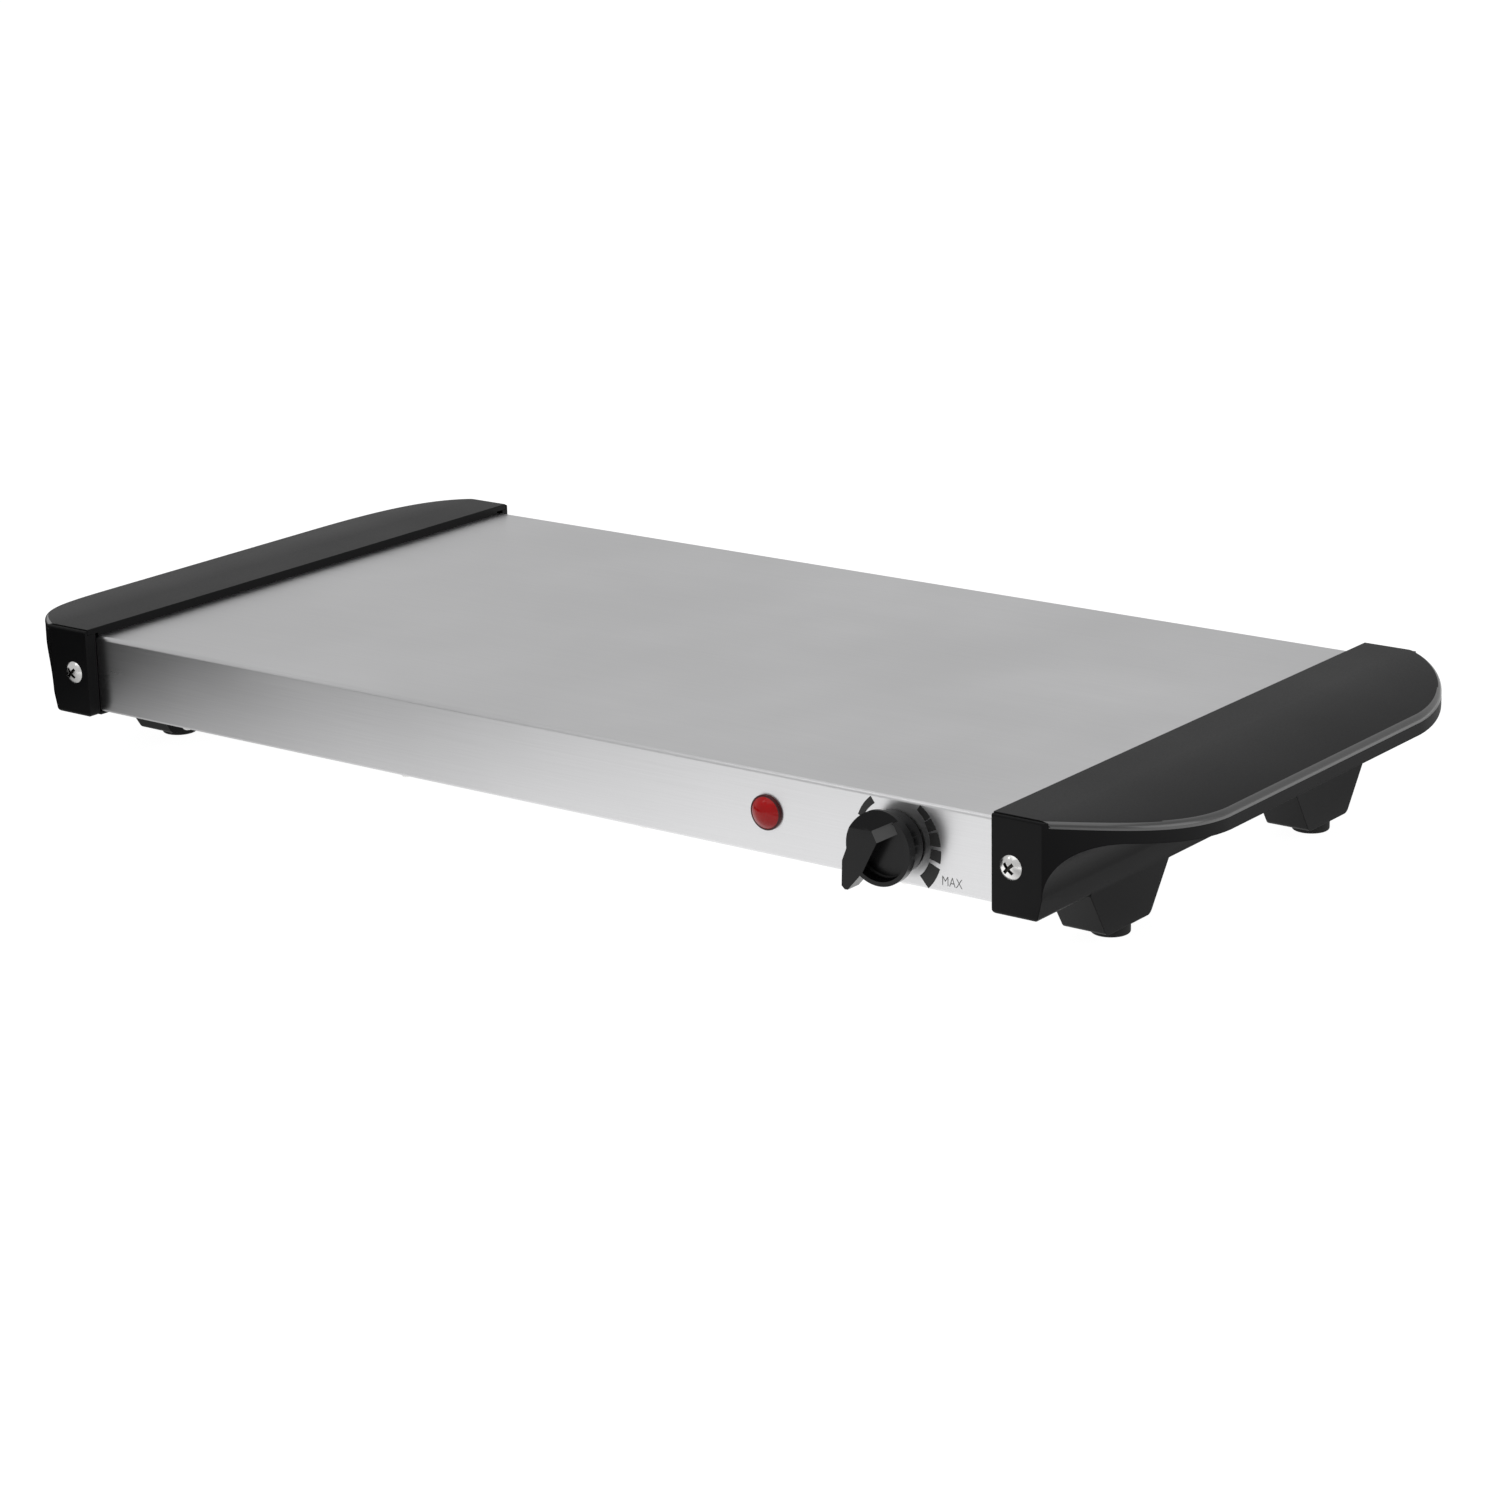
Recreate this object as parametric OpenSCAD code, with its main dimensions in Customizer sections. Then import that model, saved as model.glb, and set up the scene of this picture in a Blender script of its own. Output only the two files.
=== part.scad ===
// Electric food warmer tray: a folded stainless top between two moulded end handles.
// The origin is on the table under the middle of the part's box. X runs from the left handle to the
// right one, Y from the front to the rear and Z up. All sizes are in millimetres.

/* [Tray body] */
// Length of the top between the two handles
tray_l = 527; // [500:1:600]
// Depth of the folded body from front to rear
tray_w = 306; // [300:1:360]
// Height of the folded body
tray_h = 38; // [37:0.5:56]
// Height of the body's lower edge above the table
stand_h = 28.2; // [24:0.1:40]
// Thickness of the stainless sheet
sheet_t = 0.8; // [0.6:0.1:1.2]
// Outer radius of the upper bends
bend_r = 2; // [1.5:0.1:4]
// Outer radius of the lower bends
hem_r = 1.3; // [1.25:0.05:2]
// Width of the flange turned in under the body
flange_w = 13; // [11:0.5:18]
// Length of sheet that runs in under each handle
tuck_l = 16.5; // [15.5:0.1:17.5]
// Distance from the handles' middle back to the body's middle
tray_shift = 1.35; // [0:0.05:1.6]

/* [Handles] */
// Cover of the end blocks over the body, front and rear taken together, halved
wrap_t = 5.7; // [5:0.1:8]
// Reach of a handle out from the top
handle_reach = 68.9; // [64:0.1:76]
// Height of the handle's inner edge above the top
lip_h = 4.2; // [3.8:0.1:7]
// Radius of the big corners in plan
corner_r = 92; // [84:1:105]
// Width of the level strip beside the top
level_w = 21.5; // [18:0.1:26]
// Fall of the domed top at the outer side
wing_drop = 6.9; // [5:0.1:9]
// Thickness of the cover
cover_t = 2.8; // [2.6:0.1:3.4]
// Radius of the cover's rounded rim
rim_r = 2.2; // [1:0.1:2.4]
// Height of the band under the cover's edge
band_h = 5.5; // [5:0.1:8]
// Distance from the inner face to the outer wall
wall_reach = 24.6; // [24:0.1:26]
// Lean of the outer wall, in towards its foot
wall_lean = 2.4; // [1.5:0.1:2.6]
// Radius of the cove between the wall and the wing
cove_r = 23; // [18:0.1:25]
// Thickness of the moulded walls
wall_t = 2.6; // [2.2:0.1:3]
// Radius of the end blocks' edges
block_r = 1.8; // [1:0.1:2.4]
// Radius of the end blocks' lower edges
block_low_r = 2.4; // [1:0.1:2.6]
// Drop of the handle below the body's lower edge
skirt_drop = 1.8; // [1.5:0.1:3]
// Thickness of the ribs in the wing
rib_t = 1.8; // [1.4:0.1:2.4]
// Number of ribs in each wing
rib_n = 6; // [2:1:8]
// Height of the end blocks' screws above the body's lower edge
screw_up = 19.9; // [14:0.1:24]

/* [Legs and feet] */
// Distance between the front and rear feet
foot_span = 172.4; // [150:0.1:190]
// Distance from the inner face to the foot's centre
foot_in = 12.6; // [11.5:0.1:12.8]
// Radius of a foot
foot_r = 8.7; // [7.5:0.1:9.5]
// Height of a foot below its leg
foot_h = 4.6; // [3.6:0.1:7]
// Width of a leg at its top, front to rear
leg_top_w = 63; // [54:1:72]
// Width of a leg at its foot, front to rear
leg_low_w = 35; // [30:1:42]
// Lean of a leg's outer face, in towards its foot
leg_lean = 0.6; // [0:0.1:1]
// Radius of a leg's lower corners
leg_r = 4; // [2:0.5:6]

/* [Knob and lamp] */
// Distance from the top's right end to the knob's axis
knob_in = 52.5; // [50:0.5:60]
// Height of the knob's axis above the body's lower edge
knob_up = 18.5; // [18:0.1:20]
// Radius of the knob's cap
knob_r = 16.3; // [15.5:0.1:18]
// Radius of the knob's skirt
knob_skirt_r = 14; // [13.6:0.1:15]
// Depth of the knob in front of the body
knob_d = 14; // [13:0.1:17]
// Reach of the pointer from the knob's axis
pointer_reach = 27; // [24:0.1:28]
// Direction of the pointer at its lowest setting
knob_rest = 229; // [180:1:260]
// Distance from the top's right end to the lamp
lamp_in = 120.5; // [118:0.5:150]
// Height of the lamp above the body's lower edge
lamp_up = 19.3; // [17:0.1:21]
// Radius of the lamp's rim
lamp_r = 8; // [7.6:0.1:9]

/* [Heating and wiring] */
// Thickness of the heat spreader
spreader_t = 2; // [1.5:0.1:3]
// Distance from the body's faces to the spreader's long edges
spreader_side = 18; // [16:0.5:20]
// Radius of the sheathed element
tube_r = 3.25; // [2.8:0.05:3.6]
// Distance from the body's faces to the element's outer passes
pass_side = 63; // [62:0.5:70]
// Distance from the top's ends to the element's straight passes
pass_in = 78.5; // [78:0.5:110]
// Thickness of the insulation pad
pad_t = 10.6; // [6:0.2:11]
// Radius of a wire with its sleeve
wire_r = 1.1; // [0.9:0.05:1.15]
// Distance from the top's right end to the cord inlet
gland_in = 37.5; // [30:0.5:60]
// Height of the cord inlet above the body's lower edge
gland_up = 19.5; // [15:0.1:22]
// Radius of the cord inlet's bore
gland_bore_r = 3.8; // [3:0.1:4.2]

/* [Hidden] */
$fn = 64;

// Overrun of every cut past the face it opens
over = 1;
// Clearance between a moulding and the sheet in it
fit = 0.3;
// Clearance between small parts that slide together
slip = 0.15;
// Radial clearance of the turning shaft
run_fit = 0.05;

// Places of the body
front_y = tray_shift - tray_w / 2;
rear_y = tray_shift + tray_w / 2;
top_z = stand_h + tray_h;
in_x = tray_l / 2;
sheet_half = in_x + tuck_l;
knob_x = in_x - knob_in;
knob_z = stand_h + knob_up;
lamp_x = in_x - lamp_in;
lamp_z = stand_h + lamp_up;
gland_x = in_x - gland_in;
gland_z = stand_h + gland_up;
screw_z = stand_h + screw_up;

// The handle's section, measured out from its inner face
lip_z = top_z + lip_h;
skirt_z = stand_h - skirt_drop;
dome_w = handle_reach - level_w;
dome_r = (dome_w * dome_w + wing_drop * wing_drop) / (2 * wing_drop);
dome_z = lip_z - dome_r;
wing_t = cover_t + band_h;
wall_foot = wall_reach - wall_lean;
cove_u = wall_reach + cove_r;
cove_z = dome_z + sqrt(pow(dome_r - wing_t - cove_r, 2) - pow(cove_u - level_w, 2));
cove_turn = atan2(cove_z - dome_z, cove_u - level_w);

// The handle's plan: the big corner runs from the outer side to the end block's outer edge
corner_rise = 0.06;
handle_l = tray_w + 2 * wrap_t;
handle_half = handle_l / 2;
corner_u = handle_reach + corner_rise - corner_r;
corner_y = handle_half - sqrt(pow(corner_r, 2) - pow(wall_reach - corner_u, 2));

// The groove between the block's face and the cover's edge
face_t = 1.3;
face_r = 1.1;
groove_w = 0.35;
groove_drop = 0.5;
// The foot of the cover's inner edge
lip_foot_w = 3;
// Steps round the cover's rim
rim_steps = 4;

// Screws through the end blocks
handle_screw_in = 9.4;
handle_bolt_r = 2.45;
handle_hole_r = 2.7;
pan_head_r = 5.45;
pan_head_h = 2.4;
recess_w = 1.5;
recess_l = 6;
recess_d = 1.3;
nut_af = 8;
nut_h = 4;
nut_grip = 1.2;

// Screws that hold the covers, each from below into a boss
cover_screw_u = 38;
cover_screw_y_shares = [0.31, 0.71];
cover_boss_r = 3.6;
cover_pad_wall = 1.4;
cover_seat_t = 2;
cover_pad_t = 4.4;
cover_screw_l = 6;
small_screw_r = 1.5;
small_hole_r = 1.8;
small_pilot_r = 1.55;
small_head_r = 3;
small_head_h = 1.9;

// Legs and feet
leg_z = foot_h;
leg_floor_t = 5.4;
foot_y = foot_span / 2;
foot_x = in_x + foot_in;
foot_edge_r = 1;
plug_r = 5;
plug_h = 2.6;
foot_hole_r = 2;
foot_bolt_r = 1.9;
foot_head_r = 3.6;
foot_head_h = 2;
foot_bolt_l = 9;
foot_recess_r = 4.2;
foot_recess_d = 2.8;

// End plates
end_t = 1.2;
end_inset = 0.6;
end_flange_l = 15;

// Base pan
pan_t = 0.8;
pan_gap = 1;
pan_inset = 3.5;
slot_w = 4;
slot_l = 26;
slot_gap = 10;
slot_n = 8;
slot_x_share = 0.23;
slot_row_y = 45;
bead_w = 6;
bead_h = 1.4;
bead_share = 0.8;
base_screw_n = 4;
base_screw_share = 0.8;
base_screw_l = 6;

// Heating stack, from the top sheet down
spreader_z = top_z - sheet_t - spreader_t;
spreader_in = 13.5;
spreader_l = tray_l - 2 * spreader_in;
spreader_w = tray_w - 2 * spreader_side;
pass_n = 4;
pass_l = tray_l - 2 * pass_in;
pass_half = tray_w / 2 - pass_side;
pass_gap = 2 * pass_half / (pass_n - 1);
stud_r = 2;
stud_l = 7;
stud_out = 15;
stud_x = pass_l / 2 + stud_out;
stud_hole_r = 2.4;
spreader_nut_af = 7;
spreader_nut_h = 3.2;
tube_z = spreader_z - tube_r;
clamp_t = 1;
clamp_w = 12;
clamp_foot = 7.3;
clamp_x_share = 0.27;
shield_t = 0.6;
shield_end = 3.75;
shield_side = 19.75;
shield_l = pass_l + pass_gap + 2 * tube_r + 2 * shield_end;
shield_w = 2 * pass_half + 2 * tube_r + 2 * shield_side;
shield_lip = 8;
shield_screw_share = 0.4;
cold_out = 3;
cold_l = (shield_l - pass_l) / 2 + cold_out;
bead_l = 7;
pin_r = 1.4;
pin_l = 5;
pin_x = pass_l / 2 + cold_l + bead_l + pin_l;
pad_gap = 0.3;
pad_side_gap = 0.4;
pad_top_z = tube_z - tube_r - clamp_t - pad_gap;
shield_z = pad_top_z - pad_t - shield_t;
notch_w = 10.4;

// Knob details, measured out from the body's face
knob_gap = 0.8;
knob_neck_share = 0.62;
knob_flare_share = 0.7;
knob_rim_t = 2;
knob_pocket_d = 6;
ridge_turn = 13.6;
ridge_in = [-1.6, -2.1];
ramp_turn = 159;
ramp_slope = 39;
ramp_w = 5.6;
ramp_lap = 0.6;
shoulder_turn = 220.7;
shoulder_in = 7.1;
shoulder_slope = 16;
pointer_t = 8;
pointer_tip_w = 2.2;
pointer_root_shares = [0.44, 1.12, 0.73];
pointer_side_v = 1.8;
pointer_side_w = 8.6;
hub_r = 5.4;
knob_wall = 1.9;
knob_hollow_d = 5.2;
shaft_r = 2.95;
shaft_flat = 1.6;
clip_t = 0.4;
clip_w = 3.6;
clip_slack = 0.1;
shaft_in_d = 5.4;

// Thermostat behind the front face
bracket_gap = 4.5;
bracket_t = 1.5;
bracket_w = 44;
bush_r = 5;
bush_nose = 3;
bush_flange_r = 8;
bush_flange_t = 3;
bush_nut_af = 13;
bush_nut_h = 2.5;
stat_w = 26;
stat_h = 22;
stat_d = 18;
stat_bore_d = 11;
stat_face = bracket_gap + bracket_t + bush_flange_t;
bracket_seat = 11;
bracket_screw_x = 16;
bracket_edge = 5.5;
tab_l = 9;
tab_w = 6.3;
tab_t = 0.8;
blade_l = 34;
blade_w = 8;
blade_t = 0.5;
blade_up = 5;
contact_r = 2;
bimetal_t = 0.8;
bimetal_up = 9;
panel_hole_r = 4.2;

// Indicator lamp
lamp_stem_r = 6.3;
lamp_rim_t = 1.4;
lamp_dome_in = 0.9;
lamp_dome_h = 3.4;
lamp_wall = 1.4;
lamp_stem_l = 10;
push_nut_t = 0.6;
push_nut_r = 9.6;
holder_l = 14;
holder_grip = 4;
holder_wall = 1.2;
neon_r = 3;
neon_l = 15;
neon_seat = 5;

// Thermal fuse beside the element's front end
fuse_r = 2;
fuse_l = 12;
fuse_clip_t = 0.8;
fuse_clip_w = 7;
fuse_clip_foot = 6;
fuse_gap = 7;
fuse_ahead = 17;
fuse_x = pin_x + fuse_gap;
fuse_y = tray_shift - pass_half - fuse_ahead - fuse_l;
fuse_z = spreader_z - fuse_r;

// Terminal block, cord inlet and earth screw
block_l = 30;
block_w = 18;
block_h = 11;
block_side = 49.5;
block_in = 40;
block_pitch = 10;
block_bore_r = 2.4;
block_screw_r = 1.6;
block_screw_h = 3;
block_bolt_l = 13;
block_x = in_x - block_side;
block_y = rear_y - block_in;
gland_r = 7.4;
gland_flange_r = 9.6;
gland_flange_t = 3;
gland_sleeve_l = 9;
gland_sleeve_r = 6;
gland_tail = 6;
gland_snap = 0.8;
earth_side = 73.5;
earth_in = 24;
earth_x = in_x - earth_side;
earth_y = rear_y - earth_in;
earth_bolt_l = 4;
eyelet_r = 3.4;
eyelet_t = 0.8;
eyelet_lap = 0.25;

// Wire runs
elbow_rise = 0.03;
wire_in = 2;
wire_pair = 1.15;
wire_step = 9;
wire_lamp_in = 2;
wire_back = 12;
floor_z = stand_h + wire_r + slip;
bead_z = stand_h - pan_t / 2 + bead_h + wire_r + slip;
tab_out = 8;
tab_pair = 1.6;

// The part's box, for its origin
box_front = front_y - knob_d;
box_rear = max(handle_half + pan_head_h, rear_y + gland_flange_t + gland_sleeve_l);
origin_y = (box_front + box_rear) / 2;

// Points on an arc about c from angle a0 to a1
function arc(c, r, a0, a1, n = 8) =
    [for (i = [0:n]) c + r * [cos(a0 + (a1 - a0) * i / n), sin(a0 + (a1 - a0) * i / n)]];
function unit(v) = v / norm(v);

// Moves a piece from the handles' middle to the part's origin
module place() {
    translate([0, -origin_y, 0]) children();
}

// Sets a flat outline across the tray, drawn as depth and height, and runs it along X
module along_x(start, l) {
    translate([start, 0, 0]) rotate([90, 0, 90]) linear_extrude(l) children();
}

// Sets a handle section, drawn as reach and height, along Y
module along_y(l) {
    translate([in_x, l / 2, 0]) rotate([90, 0, 0]) linear_extrude(l) children();
}

// Puts what is drawn looking at the front face onto that face, Z pointing at the viewer
module on_front(x, z) {
    translate([x, front_y, z]) rotate([90, 0, 0]) children();
}

// Puts what is drawn looking at the rear face onto that face, Z pointing away from the body
module on_rear(x, z) {
    translate([x, rear_y, z]) rotate([-90, 0, 0]) children();
}

// Rectangle of width w standing on the X axis with four round corners
module round_box(w, h, r_top, r_low) {
    translate([-w / 2, r_low]) square([w, h - r_top - r_low]);
    translate([-w / 2 + r_top, h / 2]) square([w - 2 * r_top, h / 2]);
    translate([-w / 2 + r_low, 0]) square([w - 2 * r_low, h / 2]);
    for (s = [-1, 1]) {
        translate([s * (w / 2 - r_top), h - r_top]) circle(r_top);
        translate([s * (w / 2 - r_low), r_low]) circle(r_low);
    }
}

// Hexagon by its width across the flats
module hex_prism(af, h) {
    cylinder(h = h, r = af / sqrt(3), $fn = 6);
}

module hex_nut(af, h, bore_r) {
    difference() {
        hex_prism(af, h);
        translate([0, 0, -over]) cylinder(h = h + 2 * over, r = bore_r);
    }
}

// Pan-head screw with a cross recess, its head above the XY plane and its shank below
module pan_screw(head_r, head_h, r, l) {
    crown_r = (head_r * head_r + head_h * head_h) / (2 * head_h);
    wide = recess_w * head_r / pan_head_r;
    long = recess_l * head_r / pan_head_r;
    deep = recess_d * head_h / pan_head_h;
    difference() {
        intersection() {
            cylinder(h = head_h, r = head_r);
            translate([0, 0, head_h - crown_r]) sphere(crown_r);
        }
        for (a = [45, 135]) {
            rotate([0, 0, a]) translate([-long / 2, -wide / 2, head_h - deep]) cube([long, wide, deep + over]);
        }
    }
    translate([0, 0, -l]) cylinder(h = l, r = r);
}

// Direction of the run that starts at point i
function heading(points, i) = unit(points[i + 1] - points[i]);

// Straight runs of wire through a list of points, with a ball at each corner
module wire(points) {
    for (i = [0:len(points) - 2]) {
        run = heading(points, i);
        translate(points[i]) rotate([0, acos(run[2]), atan2(run[1], run[0])])
            cylinder(h = norm(points[i + 1] - points[i]), r = wire_r, $fn = 24);
    }
    for (i = [1:len(points) - 2]) {
        translate(points[i]) sphere(wire_r + elbow_rise, $fn = 24);
    }
}

// The body: one sheet with two bends at the top and two flanges below
module top_panel() {
    color("lightgray") {
        difference() {
            translate([0, tray_shift, stand_h]) along_x(-sheet_half, 2 * sheet_half) sheet_outline();
            on_front(knob_x, knob_z) panel_hole(panel_hole_r);
            on_front(lamp_x, lamp_z) panel_hole(lamp_stem_r + slip);
            on_rear(gland_x, gland_z) panel_hole(gland_r + slip);
            for (s = [-1, 1]) {
                on_front(s * (in_x + handle_screw_in), screw_z) panel_hole(handle_hole_r);
                on_rear(s * (in_x + handle_screw_in), screw_z) panel_hole(handle_hole_r);
            }
            base_screw_places() cylinder(h = 2 * (sheet_t + over), r = small_pilot_r, center = true);
        }
        stud_places() cylinder(h = stud_l + sheet_t / 2, r = stud_r);
    }
}

module sheet_outline() {
    inner_w = tray_w - 2 * sheet_t;
    difference() {
        round_box(tray_w, tray_h, bend_r, hem_r);
        translate([0, sheet_t]) round_box(inner_w, tray_h - 2 * sheet_t, bend_r - sheet_t, hem_r - sheet_t);
        translate([-tray_w / 2 + flange_w, -over]) square([tray_w - 2 * flange_w, sheet_t + 2 * over]);
    }
}

module panel_hole(r) {
    translate([0, 0, -sheet_t - over]) cylinder(h = sheet_t + 2 * over, r = r);
}

// Welded studs, from the free end up into the top sheet
module stud_places() {
    for (x = [-stud_x, 0, stud_x], y = [-pass_gap, pass_gap]) {
        translate([x, tray_shift + y, top_z - sheet_t / 2 - stud_l]) children();
    }
}

// Screw places along the two flanges, at the body's lower edge
module base_screw_places() {
    span = base_screw_share * tray_l;
    for (i = [0:base_screw_n - 1], s = [-1, 1]) {
        translate([span * (i / (base_screw_n - 1) - 1 / 2), tray_shift + s * (tray_w - flange_w) / 2,
                   stand_h]) children();
    }
}

// Bottom plate with vent slots and two stiffening beads
module base_pan() {
    pan_l = tray_l - 2 * pan_gap;
    pan_w = tray_w - 2 * pan_inset;
    color("silver") difference() {
        union() {
            translate([-pan_l / 2, tray_shift - pan_w / 2, stand_h - pan_t]) cube([pan_l, pan_w, pan_t]);
            for (s = [-1, 1]) {
                translate([-bead_share * pan_l / 2, tray_shift + s * pan_w / 4 - bead_w / 2, stand_h - pan_t / 2])
                    cube([bead_share * pan_l, bead_w, bead_h]);
            }
        }
        for (x = [-slot_x_share, slot_x_share], s = [-1, 1], i = [0:slot_n - 1]) {
            translate([x * pan_l + slot_gap * (i - (slot_n - 1) / 2), tray_shift + s * slot_row_y / 2,
                       stand_h - pan_t - over]) vent_slot();
        }
        base_screw_places() cylinder(h = 2 * (pan_t + over), r = small_hole_r, center = true);
        block_screw_places() cylinder(h = 2 * (pan_t + over), r = small_pilot_r, center = true);
        translate([earth_x, earth_y, stand_h]) cylinder(h = 2 * (pan_t + over), r = small_pilot_r, center = true);
    }
}

module vent_slot() {
    run = slot_l - slot_w;
    translate([-slot_w / 2, -run / 2, 0]) cube([slot_w, run, pan_t + 2 * over]);
    for (s = [-1, 1]) {
        translate([0, s * run / 2, 0]) cylinder(h = pan_t + 2 * over, r = slot_w / 2);
    }
}

module base_screws() {
    color("gainsboro") base_screw_places() translate([0, 0, -pan_t]) mirror([0, 0, 1])
        pan_screw(small_head_r, small_head_h, small_screw_r, base_screw_l);
}

// Folded plate that closes one end of the body and takes the handle's bolts
module end_plate() {
    start = sheet_half - end_inset - end_flange_l;
    depth = tray_w - 2 * sheet_t - 2 * slip;
    height = tray_h - 2 * sheet_t - 2 * slip;
    difference() {
        translate([0, tray_shift, stand_h + sheet_t + slip])
            along_x(start, end_flange_l) round_box(depth, height, bend_r, hem_r);
        translate([start - over, tray_shift - depth / 2 + end_t, stand_h])
            cube([end_flange_l - end_t + over, depth - 2 * end_t, tray_h]);
        for (s = [-1, 1]) {
            translate([in_x + handle_screw_in, tray_shift + s * depth / 2, screw_z]) rotate([90, 0, 0])
                cylinder(h = 2 * (end_t + over), r = handle_bolt_r + slip, center = true);
        }
    }
}

module left_end_plate() {
    color("silver") mirror([1, 0, 0]) end_plate();
}

module right_end_plate() {
    color("silver") end_plate();
}

// Everything under the handle's top surface, lowered by a drop square to it
module under_top(drop) {
    translate([-over, 0]) square([level_w + over, lip_z - drop]);
    translate([level_w, dome_z]) circle(dome_r - drop, $fn = 360);
}

// The space under the wing, outside the wall, grown by t into the moulding
module under_wing(t) {
    far = 2 * handle_reach;
    difference() {
        intersection() {
            polygon([[wall_foot - t, 0], [wall_foot - t, skirt_z], [wall_reach - t, cove_z],
                     [wall_reach - t, lip_z], [far, lip_z], [far, 0]]);
            under_top(wing_t - t);
        }
        translate([cove_u, cove_z])
            polygon([[0, 0], [-dome_r, 0], [-dome_r, dome_r], dome_r * [cos(cove_turn), sin(cove_turn)]]);
    }
    translate([cove_u, cove_z]) circle(cove_r + t, $fn = 180);
}

// The handle's outline seen from above, drawn in by side and by end, with rounded end corners
module handle_plan(side, end, round) {
    r = corner_r - side;
    half = handle_half - end;
    c = [corner_u + sqrt(pow(r - round, 2) - pow(half - round - corner_y, 2)), half - round];
    out = unit(c - [corner_u, corner_y]);
    translate([in_x, 0]) {
        difference() {
            intersection() {
                translate([-over, -half]) square([handle_reach + over - side, 2 * half]);
                union() {
                    translate([-over, -corner_y]) square([handle_reach + over, 2 * corner_y]);
                    for (s = [-1, 1]) {
                        translate([corner_u, s * corner_y]) circle(r);
                    }
                }
            }
            for (s = [0, 1]) {
                mirror([0, s]) polygon([c, c + 2 * round * [0, 1], c + 2 * round * (out + [0, 1]),
                                        c + 2 * round * out]);
            }
        }
        for (s = [-1, 1]) {
            translate([c[0], s * c[1]]) circle(round);
        }
    }
}

// The handle's outline seen along X, lowered by drop, with its foot and its top edge rounded
module handle_side(drop, r_top) {
    translate([0, skirt_z]) round_box(handle_l, lip_z - drop - skirt_z, r_top, block_r);
}

// The moulded base: end blocks, wall, wing and two legs
module handle_base() {
    difference() {
        union() {
            difference() {
                intersection() {
                    along_y(handle_l) base_section();
                    linear_extrude(lip_z) handle_plan(0, 0, block_r, $fn = 240);
                    along_x(in_x - over, handle_reach + 2 * over) handle_side(0, face_r);
                }
                wing_hollow();
            }
            for (s = [-1, 1]) {
                translate([in_x, s * foot_y, 0]) leg();
            }
            block_faces();
        }
        block_low_edges();
        body_pocket();
        for (s = [-1, 1]) {
            translate([in_x, s * foot_y, 0]) leg_hollow();
            translate([in_x + handle_screw_in, s * handle_half, screw_z]) rotate([90, 0, 0])
                cylinder(h = 2 * (handle_half + front_y + over), r = handle_hole_r, center = true);
        }
        cover_screw_places() {
            translate([0, 0, -wing_t]) cylinder(h = 2 * wing_t, r = small_hole_r);
            translate([0, 0, -wing_t]) cylinder(h = wing_t, r = small_head_r + fit);
        }
    }
}

module base_section() {
    difference() {
        intersection() {
            translate([0, skirt_z]) square([handle_reach + over, lip_z]);
            under_top(cover_t + slip);
        }
        under_wing(0);
    }
}

// The hollow under the cover, less the ribs and the screw pads
module wing_hollow() {
    difference() {
        intersection() {
            along_y(handle_l) difference() {
                translate([tuck_l + fit, stand_h]) square([handle_reach, lip_z]);
                under_wing(wall_t);
            }
            linear_extrude(lip_z) handle_plan(wall_t, 0, block_r, $fn = 240);
            translate([in_x, front_y - fit, 0]) cube([handle_reach, tray_w + 2 * fit, lip_z]);
        }
        for (i = [1:rib_n]) {
            translate([in_x, handle_l * (i / (rib_n + 1) - 1 / 2) - rib_t / 2, 0])
                cube([handle_reach, rib_t, lip_z]);
        }
        cover_screw_places() translate([0, 0, -wing_t])
            cylinder(h = wing_t + cover_seat_t, r = small_head_r + fit + cover_pad_wall);
    }
    cover_screw_places() translate([0, 0, cover_seat_t]) cylinder(h = wing_t, r = cover_boss_r + fit);
}

// Screw places under the wing, on the plane that the heads bear on
module cover_screw_places() {
    seat_z = lip_z - cover_t - cover_pad_t - cover_seat_t;
    for (s = [-1, 1], share = cover_screw_y_shares) {
        translate([in_x + cover_screw_u, s * share * handle_half, seat_z]) children();
    }
}

// What the round lower edges of the end blocks leave out, beside the body and along the wall
module block_low_edges() {
    lean = atan2(wall_lean, cove_z - skirt_z);
    run = block_low_r / tan(45 + lean / 2);
    leg_end = foot_y + leg_top_w / 2 + fit;
    for (s = [-1, 1]) {
        beside = s < 0 ? -front_y : rear_y;
        translate([in_x, s * (handle_half + beside + fit) / 2, skirt_z]) rotate([90, 0, 0])
            linear_extrude(handle_half - beside - fit + over, center = true) difference() {
                translate([-over, -over]) square(block_low_r + over);
                translate([block_low_r, block_low_r]) circle(block_low_r);
            }
        translate([in_x + wall_foot, s * (handle_half + leg_end) / 2, skirt_z]) rotate([90, 0, 0])
            linear_extrude(handle_half - leg_end + over, center = true) difference() {
                polygon([[-run, -over], [over, -over], run * [sin(lean), cos(lean)] + [over, 0],
                         [-run, block_low_r]]);
                translate([-run, block_low_r]) circle(block_low_r);
            }
    }
}

// The end blocks' faces, which stand up in front of the cover's edge
module block_faces() {
    intersection() {
        along_x(in_x, handle_reach) handle_side(groove_drop, face_r);
        linear_extrude(lip_z) handle_plan(0, 0, block_r, $fn = 240);
        for (s = [-1, 1]) {
            translate([in_x, s * (handle_half - face_t / 2) - face_t / 2, lip_z - cover_t - over])
                cube([handle_reach, face_t, cover_t + over]);
        }
    }
}

// The room that the body's end slides into
module body_pocket() {
    translate([in_x - over, front_y - fit, stand_h - fit])
        cube([tuck_l + fit + over, tray_w + 2 * fit, tray_h + lip_h + 2 * over]);
}

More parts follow.
